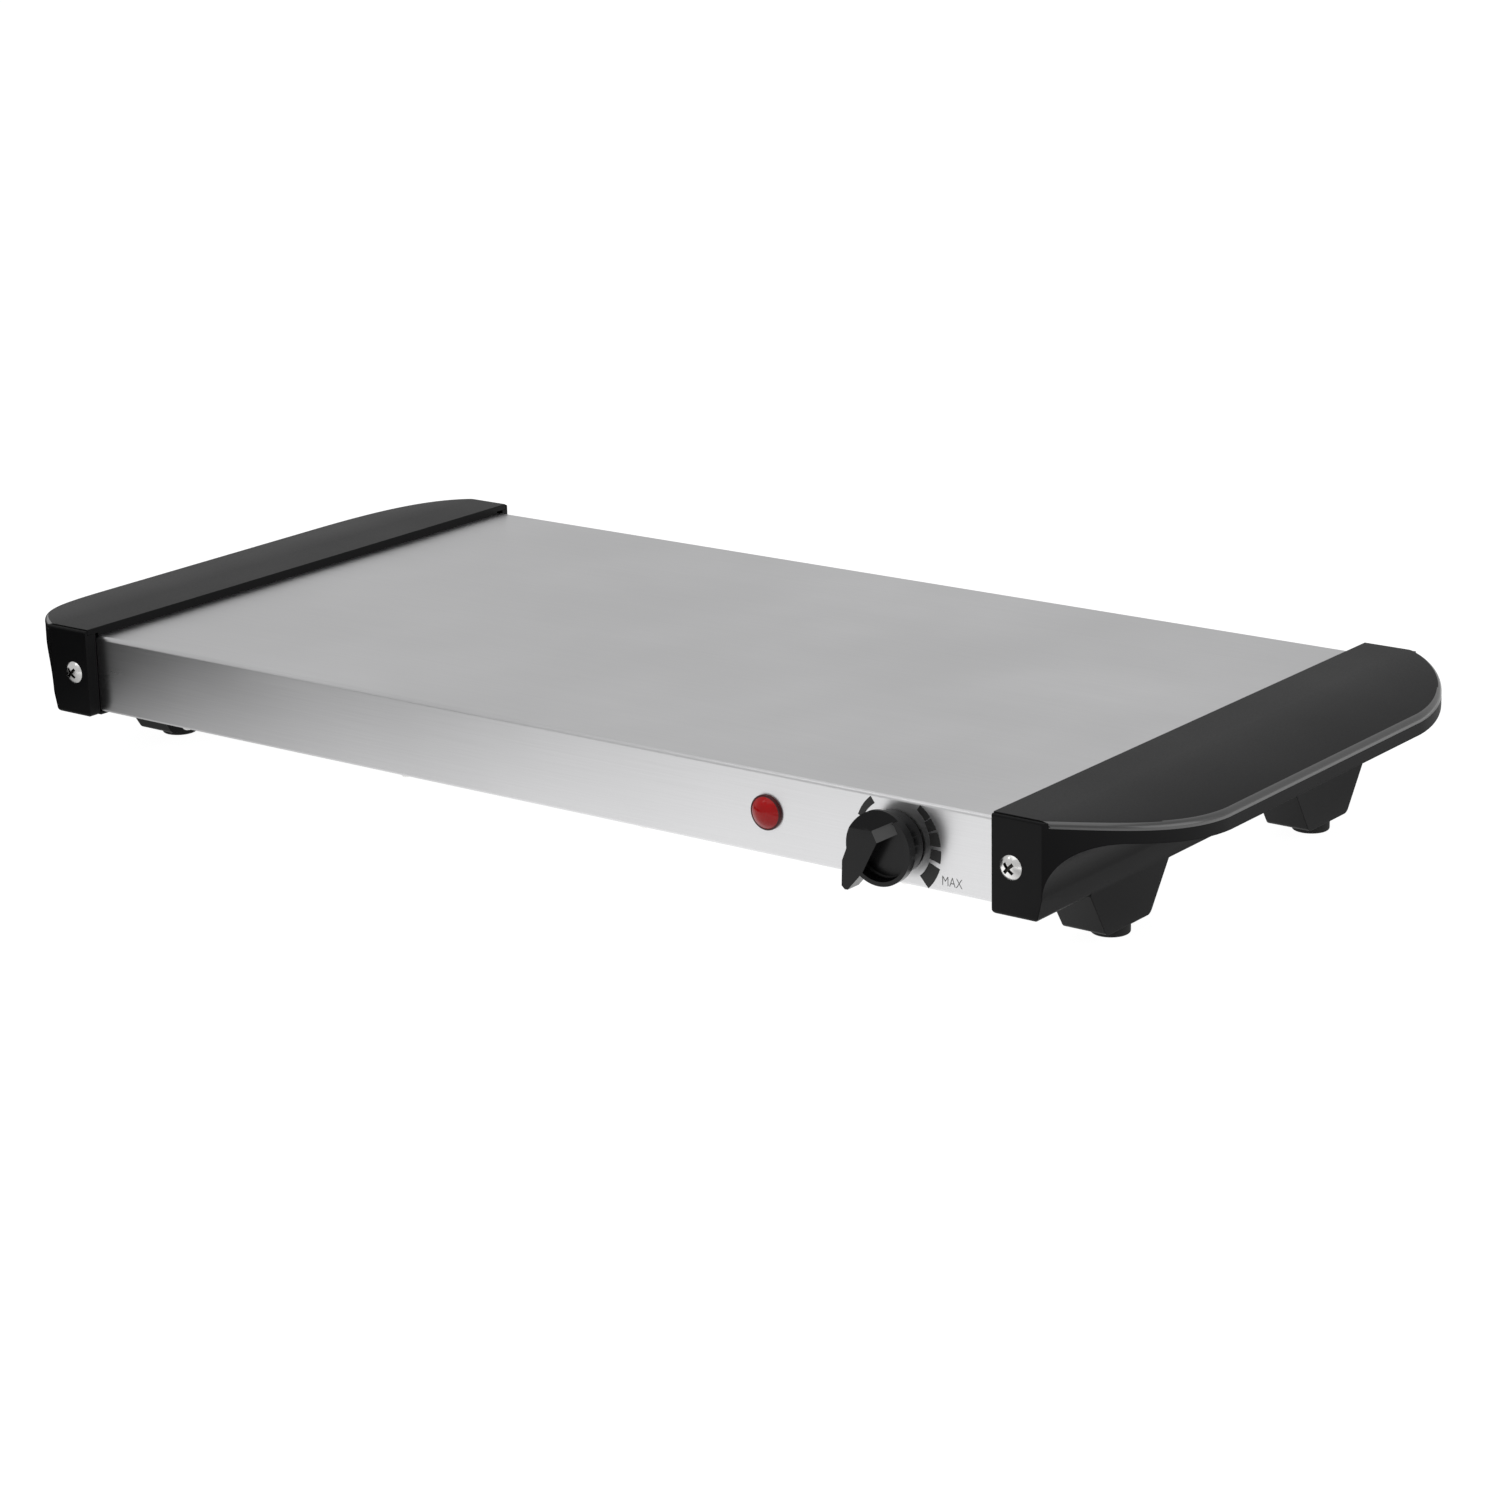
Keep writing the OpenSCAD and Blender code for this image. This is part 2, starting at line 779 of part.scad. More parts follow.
// A leg: a trapezium from the side, leaning in a little at its outer face
module leg() {
    difference() {
        along_x(0, wall_foot) leg_side(leg_top_w / 2, leg_low_w / 2);
        translate([0, leg_top_w, 0]) rotate([90, 0, 0]) linear_extrude(2 * leg_top_w)
            polygon([[wall_foot - leg_lean, -over], [wall_foot - leg_lean, leg_z], [wall_foot, skirt_z],
                     [wall_foot + over, skirt_z], [wall_foot + over, -over]]);
    }
}

// The leg seen along X, with round lower corners
module leg_side(top_half, low_half) {
    lean = atan2(top_half - low_half, skirt_z - leg_z);
    corner = low_half - leg_r * tan((90 - lean) / 2);
    right = concat(arc([corner, leg_z + leg_r], leg_r, -90, -lean),
                   [[top_half, skirt_z], [top_half, skirt_z + skirt_drop / 2]]);
    polygon(concat(right, [for (i = [len(right) - 1:-1:0]) [-right[i][0], right[i][1]]]));
}

// The hollow of a leg above its floor, and the seat of its foot
module leg_hollow() {
    along_x(wall_t, wall_foot - leg_lean - 2 * wall_t) intersection() {
        leg_side(leg_top_w / 2 - wall_t, leg_low_w / 2 - wall_t);
        translate([-leg_top_w / 2, leg_z + leg_floor_t]) square([leg_top_w, tray_h]);
    }
    translate([foot_in, 0, leg_z]) {
        translate([0, 0, -over]) cylinder(h = plug_h + slip + over, r = plug_r + slip);
        cylinder(h = leg_floor_t + over, r = foot_hole_r);
    }
}

module left_handle_base() {
    color("dimgray") mirror([1, 0, 0]) handle_base();
}

module right_handle_base() {
    color("dimgray") handle_base();
}

// The domed cover with its foot on the body and its screw bosses
module handle_cover() {
    difference() {
        union() {
            difference() {
                cover_form();
                along_y(handle_l) under_top(cover_t);
            }
            translate([in_x, front_y + bend_r, top_z])
                cube([lip_foot_w, tray_w - 2 * bend_r, lip_h - cover_t / 2]);
            cover_screw_places() translate([0, 0, cover_seat_t])
                cylinder(h = cover_pad_t + cover_t / 2, r = cover_boss_r);
        }
        cover_screw_places() cylinder(h = cover_screw_l + slip, r = small_pilot_r);
    }
}

// The cover's outer form: layers drawn in and lowered step by step round the rim
module cover_form() {
    hull() for (i = [0:rim_steps]) {
        turn = 90 * i / rim_steps;
        intersection() {
            along_y(handle_l) intersection() {
                translate([0, dome_z]) square([handle_reach + over, dome_r]);
                under_top(rim_r * (1 - sin(turn)));
            }
            linear_extrude(lip_z) handle_plan(rim_r * (1 - cos(turn)), face_t + groove_w, block_r, $fn = 96);
        }
    }
}

module left_handle_cover() {
    color("dimgray") mirror([1, 0, 0]) handle_cover();
}

module right_handle_cover() {
    color("dimgray") handle_cover();
}

// The four bolts and nuts that hold the handles to the body
module handle_screws() {
    color("gainsboro") for (x = [-1, 1], s = [-1, 1]) {
        face = s > 0 ? rear_y : -front_y;
        translate([x * (in_x + handle_screw_in), s * handle_half, screw_z]) rotate([-90 * s, 0, 0])
            pan_screw(pan_head_r, pan_head_h, handle_bolt_r,
                      handle_half - face + sheet_t + slip + end_t + nut_h + nut_grip);
    }
}

module handle_nuts() {
    color("silver") for (x = [-1, 1], s = [-1, 1]) {
        face = (s > 0 ? rear_y : front_y) - s * (sheet_t + slip + end_t);
        translate([x * (in_x + handle_screw_in), face, screw_z]) rotate([90 * s, 0, 0])
            hex_nut(nut_af, nut_h, handle_bolt_r + run_fit);
    }
}

module cover_screws() {
    color("gainsboro") for (side = [0, 1]) {
        mirror([side, 0, 0]) cover_screw_places() mirror([0, 0, 1])
            pan_screw(small_head_r, small_head_h, small_screw_r, cover_screw_l);
    }
}

// A rubber foot with its plug in the leg and a recess for the screw's head
module foot(x, y) {
    color("black") translate([x * foot_x, y * foot_y, 0]) rotate_extrude() difference() {
        union() {
            translate([0, foot_edge_r]) square([foot_r, foot_h - foot_edge_r]);
            square([foot_r - foot_edge_r, foot_h]);
            translate([foot_r - foot_edge_r, foot_edge_r]) circle(foot_edge_r);
            square([plug_r, foot_h + plug_h]);
        }
        translate([-over, -over]) square([foot_recess_r + over, foot_recess_d + over]);
        translate([-over, -over]) square([foot_hole_r + over, foot_h + plug_h + 2 * over]);
    }
}

module foot_screws() {
    color("gainsboro") for (x = [-1, 1], y = [-1, 1]) {
        translate([x * foot_x, y * foot_y, foot_recess_d]) mirror([0, 0, 1])
            pan_screw(foot_head_r, foot_head_h, foot_bolt_r, foot_bolt_l);
    }
}

// Aluminium plate against the underside of the top
module heat_spreader() {
    color("gainsboro") difference() {
        translate([-spreader_l / 2, tray_shift - spreader_w / 2, spreader_z])
            cube([spreader_l, spreader_w, spreader_t]);
        stud_places() cylinder(h = stud_l, r = stud_hole_r);
        clamp_places() translate([0, clamp_foot, 0]) screw_hole(spreader_t, small_pilot_r);
        shield_screw_places() screw_hole(spreader_t, small_pilot_r);
        bracket_screw_places() screw_hole(spreader_t, small_pilot_r);
        fuse_screw_place() screw_hole(spreader_t, small_pilot_r);
    }
}

// A round hole up through a sheet of thickness t
module screw_hole(t, r) {
    translate([0, 0, -over]) cylinder(h = t + 2 * over, r = r);
}

module spreader_nuts() {
    color("silver") stud_places()
        translate([0, 0, stud_l - sheet_t / 2 - spreader_t - spreader_nut_h])
            hex_nut(spreader_nut_af, spreader_nut_h, stud_r + run_fit);
}

// Sheathed element: four passes and three bends, both ends at the right
module heating_element() {
    color("slategray") translate([0, tray_shift, tube_z]) {
        for (i = [0:pass_n - 1]) {
            end = i == 0 || i == pass_n - 1 ? cold_l : 0;
            translate([-pass_l / 2, pass_gap * i - pass_half, 0]) rotate([0, 90, 0])
                cylinder(h = pass_l + end, r = tube_r);
        }
        for (i = [0:pass_n - 2]) {
            side = i % 2 == 0 ? -1 : 1;
            translate([side * pass_l / 2, pass_gap * (i + 1 / 2) - pass_half, 0])
                rotate([0, 0, side > 0 ? -90 : 90]) rotate_extrude(angle = 180)
                    translate([pass_gap / 2, 0]) circle(tube_r);
        }
        for (s = [-1, 1]) {
            translate([pass_l / 2 + cold_l, s * pass_half, 0]) rotate([0, 90, 0])
                cylinder(h = bead_l + pin_l, r = pin_r);
        }
    }
}

module element_insulators() {
    color("white") for (s = [-1, 1]) {
        translate([pass_l / 2 + cold_l, tray_shift + s * pass_half, tube_z])
            rotate([0, 90, 0]) difference() {
                cylinder(h = bead_l, r = tube_r);
                translate([0, 0, -over]) cylinder(h = bead_l + 2 * over, r = pin_r + slip);
            }
    }
}

// Clamp places on the passes, on the underside of the spreader
module clamp_places() {
    for (x = [-clamp_x_share, clamp_x_share], i = [0:pass_n - 1]) {
        translate([x * pass_l, tray_shift + pass_gap * i - pass_half, spreader_z]) children();
    }
}

// Strap round a tube of radius r that lies against the plate above, its foot to the right
module strap(r, t, foot) {
    difference() {
        union() {
            circle(r + t);
            translate([-r - t, 0]) square([2 * (r + t), r]);
            translate([0, r - t]) square([foot, t]);
        }
        circle(r);
        translate([-r, 0]) square([2 * r, r + over]);
        translate([-2 * r, r]) square([4 * r, 2 * r]);
    }
}

module element_clamps() {
    color("silver") clamp_places() difference() {
        translate([0, 0, -tube_r]) along_x(-clamp_w / 2, clamp_w)
            strap(tube_r, clamp_t, clamp_foot + small_head_r);
        translate([0, clamp_foot, -clamp_t]) screw_hole(clamp_t, small_hole_r);
    }
}

module clamp_screws() {
    color("gainsboro") clamp_places() translate([0, clamp_foot, -clamp_t])
        mirror([0, 0, 1]) plate_screw(clamp_t);
}

// Small screw whose head bears on a sheet of thickness t under the spreader
module plate_screw(t) {
    pan_screw(small_head_r - slip, small_head_h, small_screw_r, t + spreader_t - slip);
}

// Glass wool between the element and the shield
module insulation_pad() {
    l = shield_l - 2 * (shield_t + pad_side_gap);
    w = shield_w - 2 * (shield_t + pad_side_gap);
    color("khaki") translate([-l / 2, tray_shift - w / 2, shield_z + shield_t]) cube([l, w, pad_t]);
}

// Shallow steel tray that holds the insulation up under the spreader
module heat_shield() {
    h = spreader_z - shield_z;
    color("silver") difference() {
        translate([0, tray_shift, shield_z]) difference() {
            union() {
                translate([-shield_l / 2, -shield_w / 2, 0]) cube([shield_l, shield_w, h]);
                translate([-shield_l / 2 - shield_lip, -shield_w / 2 - shield_lip, h - shield_t])
                    cube([shield_l + 2 * shield_lip, shield_w + 2 * shield_lip, shield_t]);
            }
            translate([-shield_l / 2 + shield_t, -shield_w / 2 + shield_t, shield_t])
                cube([shield_l - 2 * shield_t, shield_w - 2 * shield_t, h]);
            for (s = [-1, 1]) {
                translate([shield_l / 2 - over, s * pass_half - notch_w / 2, h - 2 * tube_r - fit])
                    cube([shield_lip + 2 * over, notch_w, h]);
            }
        }
        shield_screw_places() translate([0, 0, -shield_t]) screw_hole(shield_t, small_hole_r);
    }
}

module shield_screw_places() {
    for (x = [-shield_screw_share, shield_screw_share], s = [-1, 1]) {
        translate([x * pass_l, tray_shift + s * (shield_w + shield_lip) / 2, spreader_z]) children();
    }
}

module shield_screws() {
    color("gainsboro") shield_screw_places() translate([0, 0, -shield_t])
        mirror([0, 0, 1]) plate_screw(shield_t);
}

// The knob: a skirt and a wider cap, a finger pocket beside the ridge and a pointer past the rim
module control_knob() {
    neck = knob_d * knob_neck_share;
    flare = knob_d * knob_flare_share;
    floor_d = knob_d - knob_pocket_d;
    color("black") on_front(knob_x, knob_z) rotate([0, 0, knob_rest]) difference() {
        union() {
            translate([0, 0, knob_gap]) cylinder(h = neck - knob_gap, r = knob_skirt_r);
            translate([0, 0, neck]) cylinder(h = flare - neck, r1 = knob_skirt_r, r2 = knob_r, $fn = 96);
            translate([0, 0, flare]) cylinder(h = knob_d - flare, r = knob_r);
            translate([0, 0, knob_d - pointer_t]) linear_extrude(pointer_t) pointer_outline();
        }
        intersection() {
            translate([0, 0, floor_d]) cylinder(h = knob_d, r = knob_r - knob_rim_t);
            union() {
                finger_pocket(floor_d);
                ramp();
            }
        }
        shoulder();
        difference() {
            translate([0, 0, -over]) cylinder(h = knob_gap + knob_hollow_d + over, r = knob_skirt_r - knob_wall);
            translate([0, 0, knob_gap]) cylinder(h = knob_d, r = hub_r);
        }
        difference() {
            translate([0, 0, -over]) cylinder(h = shaft_in_d + knob_gap + over + slip, r = shaft_r + run_fit);
            translate([-knob_r, shaft_flat + clip_t + 2 * clip_slack, -2 * over])
                cube([2 * knob_r, knob_r, knob_d]);
        }
    }
}

// Recess beside the ridge, out to the rim, for a fingertip
module finger_pocket(floor_d) {
    far = 3 * knob_r;
    translate([ridge_in[0], ridge_in[1], floor_d]) linear_extrude(knob_d)
        polygon([[0, 0], far * [cos(ridge_turn), sin(ridge_turn)], [far, far], [-far, far],
                 far * [cos(ramp_turn), sin(ramp_turn)]]);
}

// Slope from the face's inner end down to the recess's floor
module ramp() {
    translate([ridge_in[0], ridge_in[1], knob_d]) rotate([0, 0, ramp_turn]) rotate([0, ramp_slope, 0])
        translate([-ramp_lap, -ramp_lap, 0]) cube([2 * knob_r, ramp_w + ramp_lap, knob_d]);
}

// Shallow slope from the face to the cap's side, beyond the ramp
module shoulder() {
    intersection() {
        rotate([0, 0, shoulder_turn]) translate([shoulder_in, -knob_r, knob_d]) rotate([0, shoulder_slope, 0])
            translate([-ramp_lap, 0, 0]) cube([2 * knob_r, 2 * knob_r, knob_d]);
        translate([ridge_in[0], ridge_in[1], 0]) rotate([0, 0, ramp_turn])
            translate([-knob_r, ramp_w - ramp_lap, 0]) cube([4 * knob_r, 2 * knob_r, 2 * knob_d]);
    }
}

module pointer_outline() {
    tip = pointer_tip_w / 2;
    polygon([[knob_r * pointer_root_shares[0], pointer_side_v], [pointer_reach - tip, pointer_side_v],
             [pointer_reach, pointer_side_v - tip], [pointer_reach, pointer_side_v - tip - pointer_tip_w],
             [knob_r * pointer_root_shares[1], -pointer_side_w],
             [knob_r * pointer_root_shares[2], -pointer_side_w - pointer_tip_w]]);
}

// Spring leaf between the shaft's flat and the hub
module knob_clip() {
    color("silver") on_front(knob_x, knob_z) rotate([0, 0, knob_rest])
        translate([-clip_w / 2, shaft_flat + clip_slack, knob_gap])
            cube([clip_w, clip_t, shaft_in_d - knob_gap]);
}

// Turning shaft with a flat for the knob
module thermostat_shaft() {
    back = bracket_gap + bracket_t + bush_flange_t + stat_bore_d;
    color("silver") on_front(knob_x, knob_z) rotate([0, 0, knob_rest]) difference() {
        translate([0, 0, -back]) cylinder(h = back + shaft_in_d + knob_gap, r = shaft_r);
        translate([-knob_r, shaft_flat, 0]) cube([2 * knob_r, knob_r, knob_d]);
    }
}

// Threaded brass bush that the shaft turns in
module thermostat_bush() {
    back = bracket_gap + bracket_t;
    color("goldenrod") on_front(knob_x, knob_z) difference() {
        union() {
            translate([0, 0, -back]) cylinder(h = bracket_t + bush_nose, r = bush_r);
            translate([0, 0, -stat_face]) cylinder(h = bush_flange_t, r = bush_flange_r);
        }
        translate([0, 0, -stat_face - over]) cylinder(h = knob_d + back, r = shaft_r + run_fit);
    }
}

module thermostat_nut() {
    color("goldenrod") on_front(knob_x, knob_z) translate([0, 0, -bracket_gap])
        hex_nut(bush_nut_af, bush_nut_h, bush_r + run_fit);
}

// Moulded body of the thermostat
module thermostat_body() {
    color("sienna") on_front(knob_x, knob_z) difference() {
        translate([-stat_w / 2, -stat_h / 2, -stat_face - stat_d]) cube([stat_w, stat_h, stat_d]);
        translate([0, 0, -stat_face - stat_bore_d - slip])
            cylinder(h = stat_bore_d + slip + over, r = shaft_r + slip);
    }
}

// Bracket from the spreader down to the thermostat, which lets it feel the plate's heat
module thermostat_bracket() {
    leg_y = front_y + bracket_gap;
    seat_y = tray_shift - spreader_w / 2 + bracket_seat;
    low_z = knob_z - stat_h / 2;
    color("silver") difference() {
        union() {
            translate([knob_x - bracket_w / 2, leg_y, low_z]) cube([bracket_w, bracket_t, spreader_z - low_z]);
            translate([knob_x - bracket_w / 2, leg_y, spreader_z - bracket_t])
                cube([bracket_w, seat_y - leg_y, bracket_t]);
        }
        on_front(knob_x, knob_z) translate([0, 0, -bracket_gap - bracket_t - over])
            cylinder(h = bracket_t + 2 * over, r = bush_r + slip);
        bracket_screw_places() translate([0, 0, -bracket_t]) screw_hole(bracket_t, small_hole_r);
    }
}

module bracket_screw_places() {
    for (s = [-1, 1]) {
        translate([knob_x + s * bracket_screw_x, tray_shift - spreader_w / 2 + bracket_edge, spreader_z])
            children();
    }
}

module bracket_screws() {
    color("gainsboro") bracket_screw_places() translate([0, 0, -bracket_t])
        mirror([0, 0, 1]) plate_screw(bracket_t);
}

// Places the thermostat's blades: X across its face, Y up and Z along the shaft
module stat_blade_place() {
    on_front(knob_x, knob_z) translate([0, 0, -stat_face - stat_d / 2 - blade_w / 2]) children();
}

module bimetal_blade() {
    color("silver") stat_blade_place()
        translate([-stat_w / 2 - blade_l, bimetal_up, 0]) cube([blade_l, bimetal_t, blade_w]);
}

// Two sprung contact arms with their contacts, and the two terminal tabs
module contact_blades() {
    color("goldenrod") stat_blade_place() for (s = [-1, 1]) {
        translate([-stat_w / 2 - blade_l, s * blade_up - blade_t / 2, 0]) cube([blade_l, blade_t, blade_w]);
        translate([-stat_w / 2 - blade_l + 2 * contact_r, s * blade_up, blade_w / 2])
            rotate([s * 90, 0, 0]) cylinder(h = blade_up - slip / 2, r = contact_r);
        translate([stat_w / 2, s * blade_up - tab_t / 2, (blade_w - tab_w) / 2]) cube([tab_l, tab_t, tab_w]);
    }
}

// Red lens with a rim, a low dome and a hollow stem through the body's face
module indicator_lens() {
    dome_out = lamp_r - lamp_dome_in;
    crown_r = (dome_out * dome_out + lamp_dome_h * lamp_dome_h) / (2 * lamp_dome_h);
    color("red") on_front(lamp_x, lamp_z) difference() {
        union() {
            translate([0, 0, -lamp_stem_l]) cylinder(h = lamp_stem_l + lamp_rim_t / 2, r = lamp_stem_r);
            cylinder(h = lamp_rim_t, r = lamp_r);
            intersection() {
                translate([0, 0, lamp_rim_t + lamp_dome_h - crown_r]) sphere(crown_r, $fn = 96);
                cylinder(h = lamp_rim_t + lamp_dome_h, r = dome_out);
            }
        }
        translate([0, 0, -lamp_stem_l - over])
            cylinder(h = lamp_stem_l + over + lamp_rim_t, r = lamp_stem_r - lamp_wall);
    }
}

module indicator_push_nut() {
    color("silver") on_front(lamp_x, lamp_z) translate([0, 0, -sheet_t - push_nut_t]) difference() {
        cylinder(h = push_nut_t, r = push_nut_r);
        translate([0, 0, -over]) cylinder(h = push_nut_t + 2 * over, r = lamp_stem_r + run_fit);
    }
}

// White holder pushed over the stem's end, with the lamp in its bore
module indicator_holder() {
    back = lamp_stem_l - holder_grip + holder_l;
    color("white") on_front(lamp_x, lamp_z) difference() {
        translate([0, 0, -back]) cylinder(h = holder_l, r = lamp_stem_r + slip + holder_wall);
        translate([0, 0, -lamp_stem_l]) cylinder(h = holder_grip + over, r = lamp_stem_r + slip);
        translate([0, 0, -lamp_stem_l - neon_seat]) cylinder(h = neon_seat + over, r = neon_r + run_fit);
    }
}

module neon_lamp() {
    color("orange") on_front(lamp_x, lamp_z) translate([0, 0, -lamp_stem_l - neon_seat]) {
        cylinder(h = neon_l - neon_r, r = neon_r);
        translate([0, 0, neon_l - neon_r]) sphere(neon_r);
    }
}

module thermal_fuse() {
    color("gainsboro") translate([fuse_x, fuse_y, fuse_z]) rotate([-90, 0, 0])
        cylinder(h = fuse_l, r = fuse_r);
}

// Strap that holds the fuse up against the spreader
module fuse_clip() {
    color("silver") difference() {
        translate([fuse_x, fuse_y + (fuse_l - fuse_clip_w) / 2, fuse_z]) mirror([1, 0, 0])
            rotate([90, 0, 0]) mirror([0, 0, 1]) linear_extrude(fuse_clip_w)
                strap(fuse_r, fuse_clip_t, fuse_clip_foot + small_head_r);
        fuse_screw_place() translate([0, 0, -fuse_clip_t]) screw_hole(fuse_clip_t, small_hole_r);
    }
}

module fuse_screw_place() {
    translate([fuse_x - fuse_clip_foot, fuse_y + fuse_l / 2, spreader_z]) children();
}

module fuse_screw() {
    color("gainsboro") fuse_screw_place() translate([0, 0, -fuse_clip_t])
        mirror([0, 0, 1]) plate_screw(fuse_clip_t);
}

// Three-way block on the base pan
module terminal_block() {
    color("ivory") translate([block_x, block_y, stand_h]) difference() {
        translate([-block_l / 2, -block_w / 2, 0]) cube([block_l, block_w, block_h]);
        for (way = [-1:1]) {
            translate([way * block_pitch, 0, block_h / 2]) rotate([90, 0, 0])
                cylinder(h = block_w + 2 * over, r = block_bore_r, center = true);
            translate([way * block_pitch, 0, block_h / 2])
                cylinder(h = block_h, r = block_screw_r + slip);
        }
        for (s = [-1, 1]) {
            translate([s * block_pitch / 2, 0, -over]) cylinder(h = block_h + 2 * over, r = small_hole_r);
        }
    }
}

module block_screw_places() {
    for (s = [-1, 1]) {
        translate([block_x + s * block_pitch / 2, block_y, stand_h]) children();
    }
}

module block_screws() {
    color("gainsboro") block_screw_places() translate([0, 0, block_h])
        pan_screw(block_pitch / 4 - slip, small_head_h, small_screw_r, block_bolt_l);
}

module terminal_screws() {
    color("silver") for (way = [-1:1]) {
        translate([block_x + way * block_pitch, block_y, stand_h + block_h / 2 + wire_r + slip])
            cylinder(h = block_screw_h, r = block_screw_r);
    }
}

// Inlet bush for the cord, its bore along Y
module cord_gland() {
    tip = gland_flange_t + gland_sleeve_l;
    color("black") on_rear(gland_x, gland_z) difference() {
        union() {
            cylinder(h = gland_flange_t, r = gland_flange_r);
            translate([0, 0, gland_flange_t])
                cylinder(h = gland_sleeve_l, r1 = gland_r, r2 = gland_sleeve_r, $fn = 96);
            translate([0, 0, -gland_tail]) cylinder(h = gland_tail, r = gland_r);
            translate([0, 0, -gland_tail]) cylinder(h = gland_tail - sheet_t - slip, r = gland_r + gland_snap);
        }
        translate([0, 0, -gland_tail - over]) cylinder(h = gland_tail + tip + 2 * over, r = gland_bore_r);
    }
}

module earth_screw() {
    color("goldenrod") translate([earth_x, earth_y, stand_h + eyelet_t])
        pan_screw(small_head_r, small_head_h, small_screw_r, eyelet_t + pan_t + earth_bolt_l / 2);
}

// Ends that the wires meet
function way_end(way, shift) = [block_x + way * block_pitch + shift, block_y + wire_in, stand_h + block_h / 2];
function way_out(way, shift) = way_end(way, shift) - [0, wire_in + block_w / 2 + wire_step, 0];
function tab_end(s, shift) = [knob_x + stat_w / 2 + tab_l, front_y + stat_face + stat_d / 2 + shift,
                              knob_z + s * blade_up];
function pin_end(s) = [pin_x, tray_shift + s * pass_half, tube_z];
function lamp_end(s) = [lamp_x + s * wire_lamp_in, front_y + lamp_stem_l - holder_grip + holder_l, lamp_z];
function fuse_end(back) = [fuse_x, fuse_y + back * fuse_l, fuse_z];

// Live side: block to thermostat, thermostat to fuse, fuse to element, thermostat to lamp
module live_wires() {
    tab_step = [tab_out, 0, 0];
    shield_y = tray_shift - shield_w / 2;
    in = tab_end(-1, 0);
    out = tab_end(1, -tab_pair);
    lamp = tab_end(1, tab_pair);
    gap_y = (shield_y + front_y + stat_face + stat_d) / 2;
    color("saddlebrown") {
        wire([way_end(0, 0), [way_end(0, 0)[0], shield_y + wire_back, way_end(0, 0)[2]],
              [in[0] + tab_out, gap_y, in[2]], in + tab_step, in]);
        wire([out, [fuse_x, out[1], out[2]], [fuse_x, out[1], fuse_z], fuse_end(0)]);
        wire([fuse_end(1), [fuse_x, pin_end(-1)[1], fuse_z], [fuse_x, pin_end(-1)[1], tube_z], pin_end(-1)]);
        wire([lamp_end(1), [lamp_end(1)[0], gap_y, lamp_z], [lamp[0] + tab_out / 2, gap_y, lamp_z],
              lamp + tab_step / 2, lamp]);
    }
}

// Neutral side: block to the element's rear end and block to the lamp
module neutral_wires() {
    shield_y = tray_shift - shield_w / 2;
    side = [fuse_x, pin_end(1)[1], stand_h + block_h + wire_back / 2];
    lamp_y = lamp_end(-1)[1] + tab_out;
    color("steelblue") {
        wire([way_end(1, wire_pair), way_out(1, wire_pair), side, [side[0], side[1], tube_z], pin_end(1)]);
        wire([way_end(1, -wire_pair), way_out(1, -wire_pair),
              way_out(1, -wire_pair) + [0, -2 * wire_back, bead_z - way_end(1, 0)[2]],
              [lamp_end(-1)[0], shield_y + wire_back, bead_z], [lamp_end(-1)[0], lamp_y, lamp_z], lamp_end(-1)]);
    }
}

// Earth wire with the eyelet under the earth screw's head
module earth_wire() {
    from = way_out(-1, 0);
    foot = [earth_x, earth_y - eyelet_r + eyelet_lap, floor_z];
    color("yellowgreen") {
        wire([way_end(-1, 0), from, [earth_x, from[1], from[2]], foot - [0, wire_step, 0], foot]);
        translate([earth_x, earth_y, stand_h]) difference() {
            cylinder(h = eyelet_t, r = eyelet_r);
            screw_hole(eyelet_t, small_screw_r + slip);
        }
    }
}

place() top_panel();
place() base_pan();
place() base_screws();
place() left_end_plate();
place() right_end_plate();
place() left_handle_base();
place() right_handle_base();
place() left_handle_cover();
place() right_handle_cover();
place() handle_screws();
place() handle_nuts();
place() cover_screws();
place() foot(-1, -1);  // front_left_foot
place() foot(1, -1);  // front_right_foot
place() foot(-1, 1);  // rear_left_foot
place() foot(1, 1);  // rear_right_foot
place() foot_screws();
place() heat_spreader();
place() spreader_nuts();
place() heating_element();
place() element_insulators();
place() element_clamps();
place() clamp_screws();
place() insulation_pad();
place() heat_shield();
place() shield_screws();
place() control_knob();
place() knob_clip();
place() thermostat_shaft();
place() thermostat_bush();
place() thermostat_nut();
place() thermostat_body();
place() thermostat_bracket();
place() bracket_screws();
place() bimetal_blade();
place() contact_blades();
place() indicator_lens();
place() indicator_push_nut();
place() indicator_holder();
place() neon_lamp();
place() thermal_fuse();
place() fuse_clip();
place() fuse_screw();
place() terminal_block();
place() block_screws();
place() terminal_screws();
place() cord_gland();
place() earth_screw();
place() live_wires();
place() neutral_wires();
place() earth_wire();
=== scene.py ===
"""Electric food warmer tray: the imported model, dressed with its finishes, in the photograph's view.

Lengths in the classes are millimetres in the part's own frame, and become metres where a mesh is made.
"""

from __future__ import annotations

import logging
import math
from dataclasses import dataclass
from enum import Enum
from typing import Any, Iterable, Sequence

import bmesh
import bpy
from bpy.types import Mesh, Node, NodeSocket, NodeTree, Object
from mathutils import Matrix, Vector

